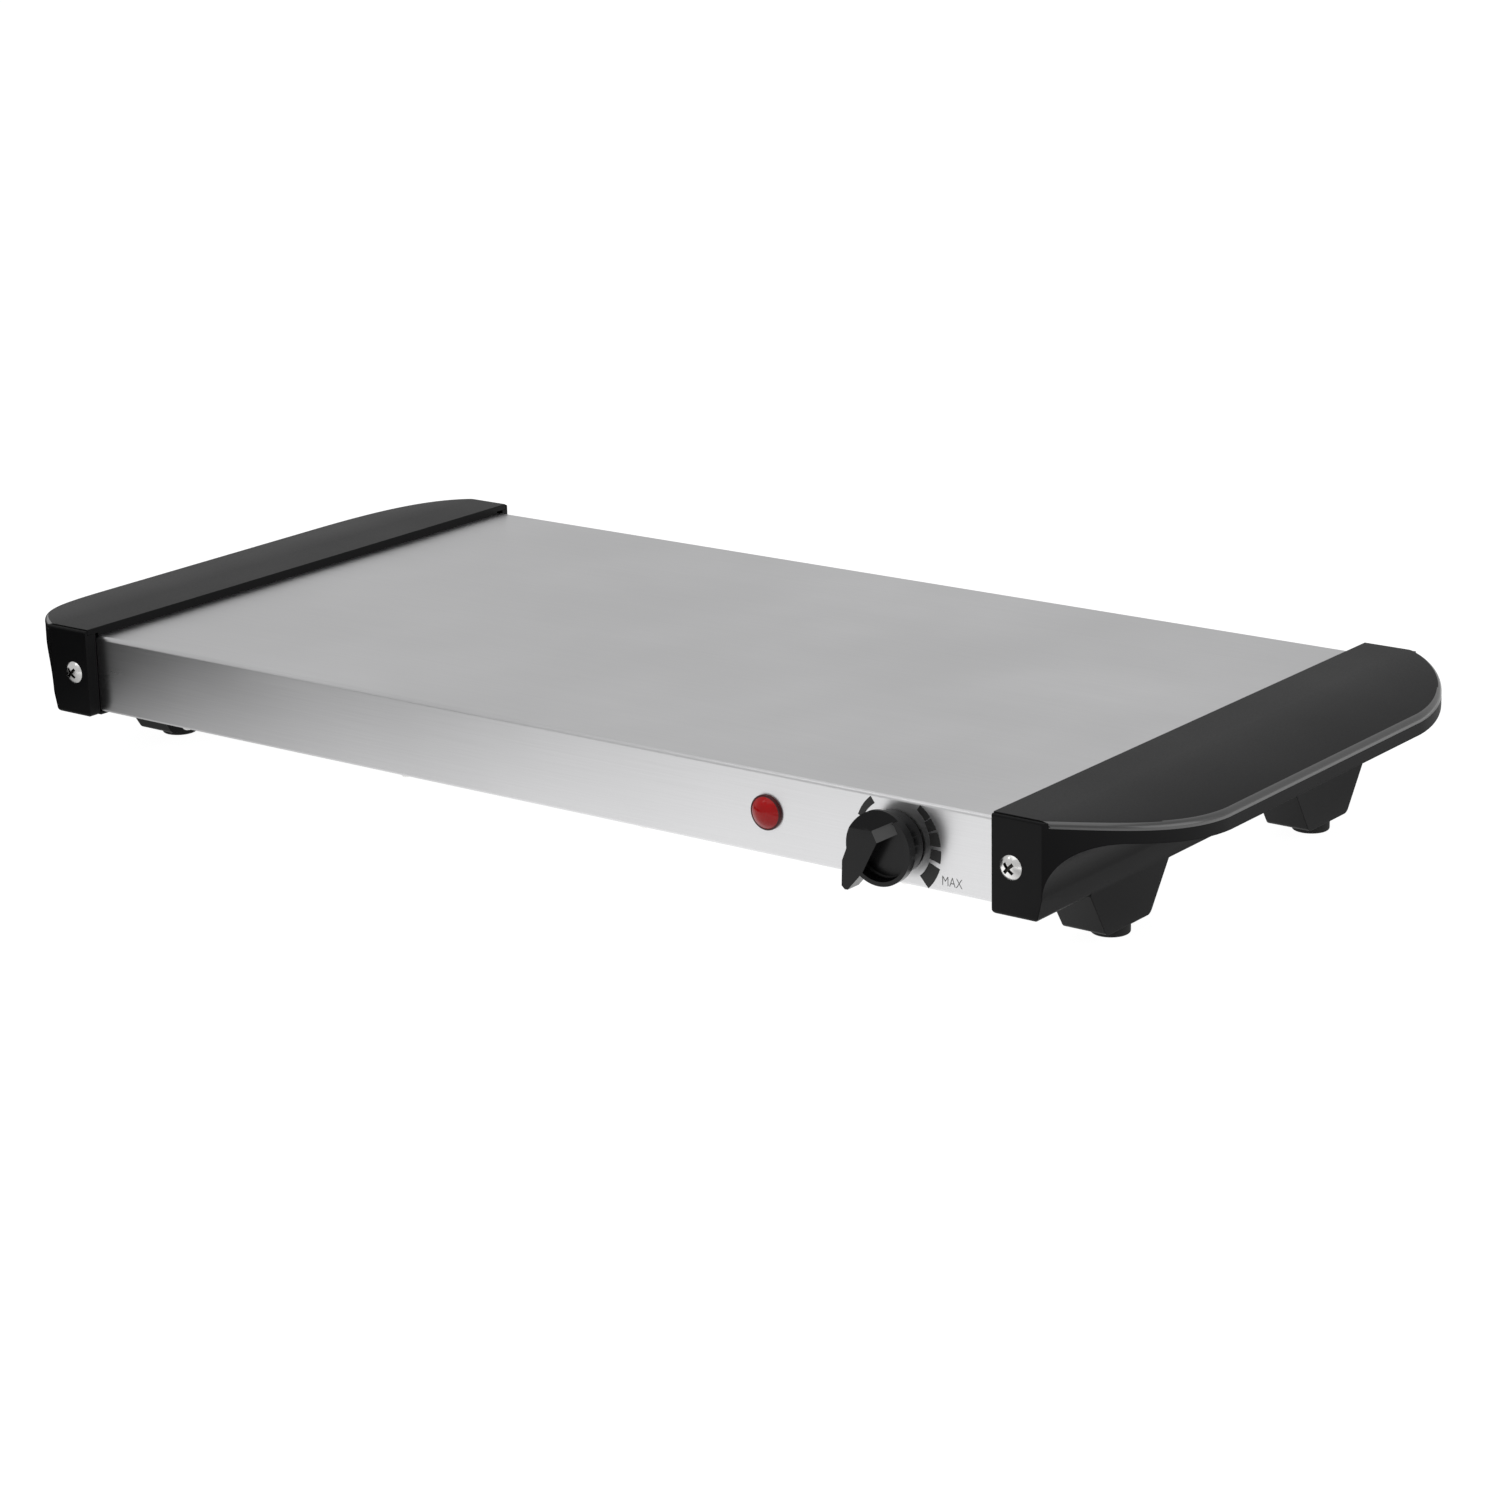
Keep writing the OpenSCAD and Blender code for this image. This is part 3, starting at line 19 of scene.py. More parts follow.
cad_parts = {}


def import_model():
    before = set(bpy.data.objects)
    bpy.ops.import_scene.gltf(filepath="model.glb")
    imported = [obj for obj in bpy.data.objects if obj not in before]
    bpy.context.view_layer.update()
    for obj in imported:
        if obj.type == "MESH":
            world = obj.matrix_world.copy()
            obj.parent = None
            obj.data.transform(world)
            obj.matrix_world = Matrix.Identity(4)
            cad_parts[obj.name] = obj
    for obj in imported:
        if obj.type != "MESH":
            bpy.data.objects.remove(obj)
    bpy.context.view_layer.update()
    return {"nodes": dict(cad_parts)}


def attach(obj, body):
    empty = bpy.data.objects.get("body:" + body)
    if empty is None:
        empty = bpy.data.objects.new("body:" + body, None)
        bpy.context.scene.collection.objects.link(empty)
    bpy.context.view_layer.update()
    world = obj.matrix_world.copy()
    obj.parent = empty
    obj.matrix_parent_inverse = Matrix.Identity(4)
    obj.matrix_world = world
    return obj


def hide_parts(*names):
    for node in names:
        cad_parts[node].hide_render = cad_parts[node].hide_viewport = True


LOG = logging.getLogger("warmer_tray")
MM = 0.001
FRAME_PX = 1500
SENSOR_MM = 36.0
# A margin in millimetres, for telling faces apart by their place.
TINY = 0.01
# The sharpest angle, in degrees, that most pieces shade smooth.
SMOOTH_ANGLE = 32.0
# Points nearer than this, in metres, are one point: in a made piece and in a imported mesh.
MADE_WELD, PACKED_WELD = 1e-6, 2e-6
# Edges shorter than this, in metres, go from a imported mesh.
SHORTEST_EDGE = 1e-7

Point = tuple[float, float, float]


def srgb(code: str) -> tuple[float, float, float, float]:
    """Turns an sRGB hex colour into Blender's linear one.

    Args:
        code: Six hex digits, with or without a leading #.

    Returns:
        Linear red, green, blue and an alpha of 1.
    """
    code = code.lstrip("#")
    parts = [int(code[i : i + 2], 16) / 255 for i in (0, 2, 4)]
    lin = [p / 12.92 if p <= 0.04045 else ((p + 0.055) / 1.055) ** 2.4 for p in parts]
    return lin[0], lin[1], lin[2], 1.0


def add(tree: NodeTree, kind: str, inputs: dict[Any, Any] | None = None, **settings: Any) -> Node:
    """Adds a node with its settings, and sets or links its inputs.

    Args:
        tree: The node tree that gets the node.
        kind: The node's type name.
        inputs: Values by input name or number. A socket, or a node for its first output, is linked, and
            so is each one of a list.
        **settings: Properties set on the node itself.

    Returns:
        The new node.
    """
    node = tree.nodes.new(kind)
    for name, value in settings.items():
        setattr(node, name, value)
    for key, value in (inputs or {}).items():
        for one in value if isinstance(value, list) else [value]:
            if isinstance(one, (Node, NodeSocket)):
                tree.links.new(one.outputs[0] if isinstance(one, Node) else one, node.inputs[key])
            else:
                node.inputs[key].default_value = one
    return node


def calc(tree: NodeTree, what: str, one: Any, two: Any = 0.0, three: Any = 0.0) -> NodeSocket:
    """Adds one step of arithmetic, by a Math node's own name for it, and returns its result."""
    return add(tree, "ShaderNodeMath", {0: one, 1: two, 2: three}, operation=what).outputs[0]


def mix(tree: NodeTree, share: Any, one: Any, two: Any) -> NodeSocket:
    """Adds a mix of two shaders, with the second one's share, and returns it."""
    return add(tree, "ShaderNodeMixShader", {0: share, 1: one, 2: two}).outputs[0]


def bare_tree(owner: Any) -> NodeTree:
    """Turns on the nodes of a material or world and clears them away."""
    owner.use_nodes = True
    owner.node_tree.nodes.clear()
    return owner.node_tree


def stand(name: str, data: bpy.types.ID) -> Object:
    """Adds an object with this data to the scene, at the origin."""
    made = bpy.data.objects.new(name, data)
    bpy.context.scene.collection.objects.link(made)
    return made


class Pattern(Enum):
    """The kinds of fine surface a finish can have."""

    GRAIN = "even moulded or cast grain"
    BRUSHED = "straight lines from an abrasive belt"
    SPANGLE = "patches of crystallised zinc"
    FIBRE = "tangled fibres"
    BRAID = "crossed threads of a woven sleeve"


# What the texture nodes take for the patterns above, and for the broad patches of colour.
THREAD_SCALE, THREAD_WAVER = 0.35, 0.4
FIBRE_BEND, FINE_ROUGHNESS = 2.5, 0.6
BRUSHED_DETAIL, GRAIN_DETAIL, BROAD_DETAIL = 4.0, 3.0, 2.0
# The pattern's values between these two carry a finish from its least to its greatest roughness.
ROUGH_FROM, ROUGH_TO = 0.25, 0.75
BEVEL_SAMPLES = 6
# A quarter turn: the highlight is drawn out across the brushed lines.
ACROSS_LINES = 0.25


@dataclass(frozen=True)
class Finish:
    """One real surface: its colours, its gloss and the fine pattern that its making leaves.

    Sizes are in millimetres. size is the pattern's size, the same every way or along X, Y and Z, and depth
    is its height.
    """

    name: str
    colour: str
    other: str
    rough: tuple[float, float]
    size: float | Point
    depth: float
    pattern: Pattern = Pattern.GRAIN
    metallic: float = 0.0
    ior: float = 1.5
    edge: float = 0.0
    patch: float = 80.0
    patch_share: float = 0.35
    coat: float = 0.0
    clear: float = 0.0
    stretch: float = 0.0
    gloss: float = 0.5

    def texture(self, tree: NodeTree, place: NodeSocket) -> NodeSocket:
        """Adds the nodes of the fine pattern.

        Args:
            tree: The material's tree.
            place: The Object coordinates.

        Returns:
            A value from 0 to 1 over the surface.
        """
        sizes = self.size if isinstance(self.size, tuple) else (self.size,) * 3
        scale = tuple(1 / (s * MM) for s in sizes)
        at = add(tree, "ShaderNodeMapping", {"Vector": place, "Scale": scale})
        if self.pattern is Pattern.SPANGLE:
            cells = add(tree, "ShaderNodeTexVoronoi", {"Vector": at, "Scale": 1.0}, feature="F1")
            return add(tree, "ShaderNodeSeparateColor", {"Color": cells.outputs["Color"]}).outputs["Red"]
        if self.pattern is Pattern.BRAID:
            turned = add(tree, "ShaderNodeMapping", {"Vector": at, "Rotation": (0, 0, math.pi / 2)})
            one, two = (add(tree, "ShaderNodeTexWave", {"Vector": way, "Scale": THREAD_SCALE,
                                                        "Distortion": THREAD_WAVER}, wave_type="BANDS",
                            bands_direction="DIAGONAL").outputs["Fac"] for way in (at, turned))
            return calc(tree, "MAXIMUM", one, two)
        bend = FIBRE_BEND if self.pattern is Pattern.FIBRE else 0.0
        detail = BRUSHED_DETAIL if self.pattern is Pattern.BRUSHED else GRAIN_DETAIL
        noise = add(tree, "ShaderNodeTexNoise", {"Vector": at, "Scale": 1.0, "Detail": detail,
                                                 "Roughness": FINE_ROUGHNESS, "Distortion": bend})
        return noise.outputs["Fac"]

    def material(self) -> bpy.types.Material:
        """Builds the finish once and returns it, or returns the one already built."""
        made = bpy.data.materials.get(self.name)
        if made:
            return made
        made = bpy.data.materials.new(self.name)
        tree = bare_tree(made)
        place = add(tree, "ShaderNodeTexCoord").outputs["Object"]
        fine = self.texture(tree, place)
        at = add(tree, "ShaderNodeMapping", {"Vector": place, "Scale": (1 / (self.patch * MM),) * 3})
        broad = add(tree, "ShaderNodeTexNoise", {"Vector": at, "Scale": 1.0, "Detail": BROAD_DETAIL})
        both = add(tree, "ShaderNodeMix", {0: self.patch_share, 2: fine, 3: broad.outputs["Fac"]},
                   data_type="FLOAT")
        mixed = add(tree, "ShaderNodeMix", {0: both, 6: srgb(self.colour), 7: srgb(self.other)}, data_type="RGBA")
        rough = add(tree, "ShaderNodeMapRange", {"Value": both, "From Min": ROUGH_FROM, "From Max": ROUGH_TO,
                                                 "To Min": self.rough[0], "To Max": self.rough[1]})
        bump: dict[Any, Any] = {"Strength": 1.0, "Distance": self.depth * MM, "Height": fine}
        if self.edge:
            bump["Normal"] = add(tree, "ShaderNodeBevel", {"Radius": self.edge * MM}, samples=BEVEL_SAMPLES)
        look = {"Base Color": mixed.outputs[2], "Roughness": rough, "Metallic": self.metallic, "IOR": self.ior,
                "Specular IOR Level": self.gloss, "Coat Weight": self.coat, "Transmission Weight": self.clear,
                "Normal": add(tree, "ShaderNodeBump", bump)}
        if self.stretch:
            look |= {"Anisotropic": self.stretch, "Anisotropic Rotation": ACROSS_LINES,
                     "Tangent": add(tree, "ShaderNodeCombineXYZ", {"X": 1.0})}
        add(tree, "ShaderNodeOutputMaterial", {"Surface": add(tree, "ShaderNodeBsdfPrincipled", look)})
        return made


# Type 304 stainless sheet, belt brushed along its length: a soft grey mirror, blurred across the lines.
# The belt's lines are about 0.1 mm apart, too fine to show, so they are drawn 0.7 mm apart.
STAINLESS_TOP = Finish("brushed stainless sheet", "#bebebf", "#e0e0e1", (0.27, 0.38), (60.0, 0.7, 0.7), 0.0015,
                       Pattern.BRUSHED, metallic=1.0, patch=90.0, patch_share=0.6, stretch=0.7)
# Black thermoset handles, moulded with a very fine matt grain: dark, with a wide soft sheen.
MOULDED_BLACK = Finish("moulded black phenolic", "#0c0c0d", "#111112", (0.38, 0.48), 0.7, 0.006, edge=0.6,
                       patch=60.0, gloss=0.12)
# A glossier, slightly lighter copy of the same black, for the rims and the band under them: a painted highlight
# line along the rims and a painted lighter band below.
RIM_SHEEN_BLACK = Finish("black phenolic with painted rim sheen", "#0e0e0f", "#131314", (0.28, 0.35), 0.9, 0.003, patch=40.0,
                      gloss=0.9, coat=0.5)
# The knob is the same black but moulded in a polished tool: a soft gloss on its slopes and edges.
POLISHED_BLACK = Finish("polished black phenolic", "#08080a", "#0b0b0c", (0.25, 0.32), 2.5, 0.002, patch=12.0,
                        gloss=0.22)
# A glossier, lighter copy of the knob's black for its sloping grip faces: a painted sheen, brighter than the
# rest.
SLOPE_SHEEN_BLACK = Finish("black phenolic with painted slope sheen", "#101011", "#161617", (0.3, 0.4), 1.5, 0.003, patch=5.0,
                      gloss=1.0, coat=0.6)
# Dyed clear polycarbonate lamp lens: saturated red, with a sharp highlight.
RED_LENS = Finish("red polycarbonate lens", "#d00008", "#b40006", (0.08, 0.14), 3.0, 0.002, ior=1.58, patch=6.0,
                  gloss=0.2)
# A darker copy of the same red for the lens's rim, which lies on the metal with no light behind it: painted
# shade, deep and dark.
RED_RIM_SHADE = Finish("red polycarbonate with painted rim shade", "#5a0006", "#3c0004", (0.12, 0.2), 3.0, 0.002, ior=1.58, patch=6.0,
                 gloss=0.2)
# Moulded rubber feet: dull black with a dusty bloom.
FOOT_RUBBER = Finish("moulded rubber", "#101010", "#1c1c1b", (0.7, 0.85), 0.8, 0.02, ior=1.52, patch=9.0)
NICKEL = Finish("nickel plated steel", "#e6e6e5", "#d6d5d3", (0.16, 0.3), 1.2, 0.003, metallic=1.0, edge=0.15,
                patch=5.0)
# Inside a screw's recess: a dull dark grey, painted shade for the darkness deep in the recess.
RECESS_SHADE = Finish("steel with painted recess shade", "#3a3936", "#282725", (0.45, 0.6), 0.8, 0.003, metallic=1.0, patch=3.0)
# Zinc coated sheet of the hidden pressings: pale grey with a faint spangle.
ZINC_SHEET = Finish("zinc coated sheet", "#a9acae", "#bcbfc0", (0.34, 0.5), 7.0, 0.002, Pattern.SPANGLE,
                    metallic=1.0, patch=60.0)
# Rolled aluminium plate, as it leaves the mill: fine lines along the roll.
MILL_ALUMINIUM = Finish("mill finish aluminium", "#c6c8ca", "#b4b6b9", (0.3, 0.42), (50.0, 0.8, 0.8), 0.002,
                        Pattern.BRUSHED, metallic=1.0)
HEATED_SHEATH = Finish("heat darkened steel sheath", "#5c5a52", "#3d3b38", (0.38, 0.58), 2.0, 0.004,
                       metallic=1.0, patch=25.0)
# Pressed steatite beads: unglazed, chalky and slightly speckled.
STEATITE = Finish("pressed steatite", "#ded9cc", "#cfc8b8", (0.6, 0.75), 0.4, 0.01, ior=1.6, patch=4.0)
LAMP_GLASS = Finish("clear lamp glass", "#f2dcc0", "#eed2b0", (0.02, 0.06), 4.0, 0.001, patch=8.0, clear=0.9)
GLASS_WOOL = Finish("needled glass wool", "#e2d8a6", "#c9bd84", (0.85, 0.95), (3.5, 3.5, 2.0), 0.25,
                    Pattern.FIBRE, patch=30.0)
BRASS = Finish("drawn brass", "#c6a25a", "#a9853f", (0.24, 0.4), (8.0, 0.5, 0.5), 0.002, Pattern.BRUSHED,
               metallic=1.0, patch=6.0)
SPRING_STEEL = Finish("bright spring steel", "#b6b7b8", "#9fa1a3", (0.22, 0.36), (12.0, 0.5, 0.5), 0.002,
                      Pattern.BRUSHED, metallic=1.0, patch=8.0)
# Brown phenolic of the thermostat's body: glossy where it met the tool.
BROWN_PHENOLIC = Finish("brown phenolic", "#4a2616", "#38190d", (0.25, 0.4), 1.5, 0.006, edge=0.3, patch=8.0)
IVORY_NYLON = Finish("ivory nylon", "#e3ddcb", "#d6ceb8", (0.4, 0.52), 1.0, 0.006, ior=1.53, edge=0.25,
                     patch=12.0)
BLACK_NYLON = Finish("black nylon", "#121213", "#1b1b1c", (0.36, 0.48), 0.9, 0.008, ior=1.53, edge=0.35,
                     patch=10.0)
# Woven glass sleeves on the wires: a crossed thread about 0.8 mm wide, dull.
LIVE_SLEEVE = Finish("brown glass sleeve", "#5d3820", "#472812", (0.7, 0.85), 0.8, 0.08, Pattern.BRAID)
NEUTRAL_SLEEVE = Finish("blue glass sleeve", "#2c5688", "#1d3f6b", (0.7, 0.85), 0.8, 0.08, Pattern.BRAID)
EARTH_SLEEVE = Finish("green glass sleeve", "#4f8a26", "#b9b32c", (0.7, 0.85), 2.4, 0.08, Pattern.BRAID)
# Screen printed epoxy ink: flat, nearly matt, with slightly uneven cover.
DIAL_INK = Finish("screen printed black ink", "#151515", "#1e1e1e", (0.5, 0.65), 0.9, 0.002)
WORD_INK = Finish("screen printed grey ink", "#757575", "#848484", (0.5, 0.65), 0.9, 0.002)

FINISHED_NODES: tuple[tuple[Finish, str], ...] = (
    (STAINLESS_TOP, "top_panel"),
    (MOULDED_BLACK, "left_handle_base right_handle_base left_handle_cover right_handle_cover"),
    (POLISHED_BLACK, "control_knob"),
    (RED_LENS, "indicator_lens"),
    (FOOT_RUBBER, "front_left_foot front_right_foot rear_left_foot rear_right_foot"),
    (BLACK_NYLON, "cord_gland"),
    (NICKEL, "base_screws handle_screws handle_nuts cover_screws foot_screws spreader_nuts clamp_screws"
             " shield_screws bracket_screws fuse_screw block_screws"),
    (ZINC_SHEET, "base_pan left_end_plate right_end_plate heat_shield thermostat_bracket"),
    (MILL_ALUMINIUM, "heat_spreader"),
    (HEATED_SHEATH, "heating_element"),
    (STEATITE, "element_insulators"),
    (GLASS_WOOL, "insulation_pad"),
    (SPRING_STEEL, "element_clamps knob_clip thermostat_shaft bimetal_blade indicator_push_nut thermal_fuse"
                   " fuse_clip"),
    (BRASS, "thermostat_bush thermostat_nut contact_blades terminal_screws earth_screw"),
    (BROWN_PHENOLIC, "thermostat_body"),
    (IVORY_NYLON, "indicator_holder terminal_block"),
    (LAMP_GLASS, "neon_lamp"),
    (LIVE_SLEEVE, "live_wires"), (NEUTRAL_SLEEVE, "neutral_wires"), (EARTH_SLEEVE, "earth_wire"),
)
NODE_FINISHES = {node: finish for finish, nodes in FINISHED_NODES for node in nodes.split()}


def link(name: str, mesh: Mesh, finish: Finish) -> Object:
    """Puts a mesh into the scene as an object at the origin with one finish."""
    mesh.materials.clear()
    mesh.materials.append(finish.material())
    return stand(name, mesh)


def smooth(mesh: Mesh, angle: float) -> None:
    """Shades a mesh smooth, except across edges sharper than angle in degrees."""
    work = bmesh.new()
    work.from_mesh(mesh)
    for face in work.faces:
        face.smooth = True
    for edge in work.edges:
        edge.smooth = len(edge.link_faces) == 2 and edge.calc_face_angle(math.pi) < math.radians(angle)
    work.to_mesh(mesh)
    work.free()


def weigh_normals(piece: Object) -> None:
    """Lets the large faces of a piece keep their own normals."""
    weighted = piece.modifiers.new("weighted normals", "WEIGHTED_NORMAL")
    weighted.keep_sharp = True
    weighted.weight = 100


def close_up(mesh: Mesh, weld: float) -> None:
    """Joins a mesh's points that lie within weld metres, and turns its faces outward."""
    work = bmesh.new()
    work.from_mesh(mesh)
    bmesh.ops.remove_doubles(work, verts=work.verts, dist=weld)
    bmesh.ops.recalc_face_normals(work, faces=work.faces)
    work.to_mesh(mesh)
    work.free()


def piece_from(name: str, points: Iterable[Sequence[float]], faces: Iterable[Sequence[int]],
               finish: Finish) -> Object:
    """Makes a closed piece from points in millimetres.

    Args:
        name: The piece's name.
        points: Its points in millimetres.
        faces: Its faces, as point numbers.
        finish: Its finish.

    Returns:
        The piece's object.
    """
    mesh = bpy.data.meshes.new(name)
    mesh.from_pydata([tuple(c * MM for c in p) for p in points], [], [list(f) for f in faces])
    close_up(mesh, MADE_WELD)
    smooth(mesh, SMOOTH_ANGLE)
    piece = link(name, mesh, finish)
    weigh_normals(piece)
    return piece


def merged_copy(node: str, name: str, angle: float = SMOOTH_ANGLE) -> Object:
    """Copies a CAD node's mesh, joins its loose triangles and shades its curves smooth.

    Args:
        node: The CAD node, which the copy replaces.
        name: The new piece's name.
        angle: The sharpest angle, in degrees, that is shaded smooth.

    Returns:
        The new piece.
    """
    mesh = bpy.data.objects[node].data.copy()
    mesh.name = name
    work = bmesh.new()
    work.from_mesh(mesh)
    bmesh.ops.remove_doubles(work, verts=work.verts, dist=PACKED_WELD)
    bmesh.ops.dissolve_degenerate(work, edges=work.edges, dist=SHORTEST_EDGE)
    work.to_mesh(mesh)
    work.free()
    packed = mesh.attributes.get("custom_normal")
    if packed:
        mesh.attributes.remove(packed)
    smooth(mesh, angle)
    piece = link(name, mesh, NODE_FINISHES[node])
    weigh_normals(piece)
    return piece


def place_piece(piece: Object, body: str, slot: str, *nodes: str) -> None:
    """Sets a piece on its body and hides the CAD nodes it stands for."""
    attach(piece, body)
    if nodes:
        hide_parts(*nodes)
    LOG.info("%s rides on %s, %d faces", piece.name, body, len(piece.data.polygons))


def arc_points(centre: tuple[float, float], radius: float, start: float, end: float,
               steps: int) -> list[tuple[float, float]]:
    """Returns steps + 1 points of an arc, with its angles in radians."""
    return [(centre[0] + radius * math.cos(start + (end - start) * i / steps),
             centre[1] + radius * math.sin(start + (end - start) * i / steps)) for i in range(steps + 1)]


@dataclass
class HandleCover:
    """The domed upper moulding of a handle, in reach from its inner face and distance from its middle."""

    side: int
    in_x: float = 263.5
    middle_y: float = -0.35
    half: float = 157.05
    lip_z: float = 70.4
    top_z: float = 66.2
    reach: float = 68.9
    level_w: float = 21.5
    wing_drop: float = 6.9
    thick: float = 2.8
    rim_r: float = 2.2
    corner_r: float = 92.0
    corner_u: float = -23.04
    corner_y: float = 80.05
    block_r: float = 1.8
    foot_w: float = 3.0
    foot_front: float = 150.0
    level_stops: tuple[float, float] = (8.0, 14.0)
    bend_gap: float = 0.5
    rim_steps: int = 7
    bend_steps: int = 5
    big_steps: int = 40
    bays: int = 44
    rim_slopes: tuple[float, float] = (0.06, 0.95)
    sheen_slack: float = 0.1
    side_h: float = 12.0

    @property
    def dome_r(self) -> float:
        """Radius of the dome across the wing."""
        w = self.reach - self.level_w
        return (w * w + self.wing_drop**2) / (2 * self.wing_drop)

    def height(self, u: float, drop: float) -> float:
        """Height of the top surface at reach u, lowered by drop square to itself."""
        if u <= self.level_w:
            return self.lip_z - drop
        r = self.dome_r
        return self.lip_z - r + math.sqrt(max((r - drop) ** 2 - (u - self.level_w) ** 2, 0.0))

    def outline(self, inset: float) -> list[tuple[float, float]]:
        """Half of the plan outline at one inset, from the inner end to the outer side.

        Args:
            inset: How far the outline is drawn in at the sides.

        Returns:
            Reach and distance from the middle, point by point, the same number at every inset.
        """
        r = self.corner_r - inset
        small = self.block_r
        rise = self.half - small - self.corner_y
        cu = self.corner_u + math.sqrt((r - small) ** 2 - rise**2)
        cy = self.half - small
        out = math.atan2(cy - self.corner_y, cu - self.corner_u)
        stop = math.acos(min(1.0, (self.reach - inset - self.corner_u) / r))
        level = (0.0, self.foot_w, *self.level_stops, min(self.level_w, cu - self.bend_gap))
        row = [(u, self.half) for u in level]
        row += arc_points((cu, cy), small, math.pi / 2, out, self.bend_steps)
        row += arc_points((self.corner_u, self.corner_y), r, out, stop, self.big_steps)[1:]
        return row

    def columns(self) -> list[float]:
        """Shares of the half width, with the ends of the foot among them."""
        edge = self.foot_front / self.half
        inner = [edge * (2 * i / self.bays - 1) for i in range(self.bays + 1)]
        return [-1.0, *inner, 1.0]

    def at(self, u: float, y: float, z: float) -> Point:
        """The point in the part's frame."""
        return self.side * (self.in_x + u), self.middle_y + y, z

    def build(self) -> Object:
        """Builds the moulding as one closed mesh: top, rounded rim, underside and inner foot."""
        cols = self.columns()
        last = len(cols) - 1
        points: list[Point] = []
        faces: list[list[int]] = []

        def grid(inset: float, drop: float) -> list[list[int]]:
            """Adds a surface of points over the whole plan at one inset and drop."""
            rows = []
            for u, y in self.outline(inset):
                rows.append([])
                for t in cols:
                    rows[-1].append(len(points))
                    points.append(self.at(u, t * y, self.height(u, drop)))
            return rows

        def loop(rows: list[list[int]]) -> list[int]:
            """The point numbers round a surface's free sides, from the inner end to the other one."""
            return [r[0] for r in rows] + rows[-1][1:-1] + [r[-1] for r in reversed(rows)]

        top = grid(self.rim_r, 0.0)
        ends = loop(top)
        starts, stops = [], []
        for step in range(1, self.rim_steps + 1):
            turn = math.pi / 2 * (1 - step / self.rim_steps)
            inset, drop = self.rim_r * (1 - math.cos(turn)), self.rim_r * (1 - math.sin(turn))
            side = self.outline(inset)
            ring: list[int] = []
            flat = [(side[-1][0], t * side[-1][1]) for t in cols[1:-1]]
            path = [(u, -y) for u, y in side] + flat + [(u, y) for u, y in reversed(side)]
            for u, y in path:
                ring.append(len(points))
                points.append(self.at(u, y, self.height(u, drop)))
            faces += [[ends[i], ends[i + 1], ring[i + 1], ring[i]] for i in range(len(ring) - 1)]
            ends = ring
            starts.append(ring[0])
            stops.append(ring[-1])
        under = grid(0.0, self.thick)
        low = loop(under)
        faces += [[ends[i], ends[i + 1], low[i + 1], low[i]] for i in range(len(low) - 1)]
        for i in range(len(top) - 1):
            for j in range(last):
                faces.append([top[i][j], top[i + 1][j], top[i + 1][j + 1], top[i][j + 1]])
                if i > 0 or j in (0, last - 1):
                    faces.append([under[i][j], under[i][j + 1], under[i + 1][j + 1], under[i + 1][j]])
        foot = []
        for u in (0.0, self.foot_w):
            foot.append([])
            for j in range(1, last):
                foot[-1].append(len(points))
                points.append(self.at(u, cols[j] * self.half, self.top_z))
        for j in range(1, last - 1):
            extra_a = [under[0][j]] if j == 1 else []
            extra_b = [under[0][j + 1]] if j == last - 2 else []
            faces.append([top[0][j], *extra_a, foot[0][j - 1], foot[0][j], *extra_b, top[0][j + 1]])
            faces.append([under[1][j], under[1][j + 1], foot[1][j], foot[1][j - 1]])
            faces.append([foot[0][j - 1], foot[1][j - 1], foot[1][j], foot[0][j]])
        for j, k in ((1, 0), (last - 1, -1)):
            faces.append([under[0][j], under[1][j], foot[1][k], foot[0][k]])
        faces.append([top[0][0], top[0][1], under[0][1], under[0][0], *reversed(starts)])
        faces.append([top[0][-2], top[0][-1], *stops, under[0][-1], under[0][-2]])
        name = ("left" if self.side < 0 else "right") + "_handle_dome"
        return piece_from(name, points, faces, MOULDED_BLACK)

    def paint_rim_sheen(self, mesh: Mesh) -> None:
        """Gives the rim and the side under it, in the cover's mesh, the glossier, slightly lighter copy of the
        black: a painted highlight line and a painted lighter band.
        """
        mesh.materials.append(RIM_SHEEN_BLACK.material())
        steep, level = self.rim_slopes
        for face in mesh.polygons:
            spots = [mesh.vertices[i].co / MM for i in face.vertices]
            drops = [self.height(abs(c.x) - self.in_x, 0.0) - c.z for c in spots]
            rim = steep < face.normal.z < level and max(drops) < self.rim_r + self.sheen_slack
            side = (abs(face.normal.z) < steep and min(drops) > self.rim_r - self.sheen_slack
                    and spots[0].z > self.top_z - self.side_h)
            if rim or side:
                face.material_index = 1


def node_group(name: str, numbers: Iterable[str], materials: Iterable[str]) -> NodeTree:
    """Makes a tree without nodes that takes a mesh, numbers and materials, and gives a mesh back."""
    made = bpy.data.node_groups.new(name, "GeometryNodeTree")
    sockets = [("Geometry", "INPUT", "Geometry"), *((label, "INPUT", "Float") for label in numbers),
               *((label, "INPUT", "Material") for label in materials), ("Geometry", "OUTPUT", "Geometry")]
    for label, way, kind in sockets:
        made.interface.new_socket(name=label, in_out=way, socket_type="NodeSocket" + kind)
    return made


class Aim(Enum):
    """The way a screw's head looks."""

    FRONT = (0.0, -1.0, 0.0)
    REAR = (0.0, 1.0, 0.0)
    DOWN = (0.0, 0.0, -1.0)


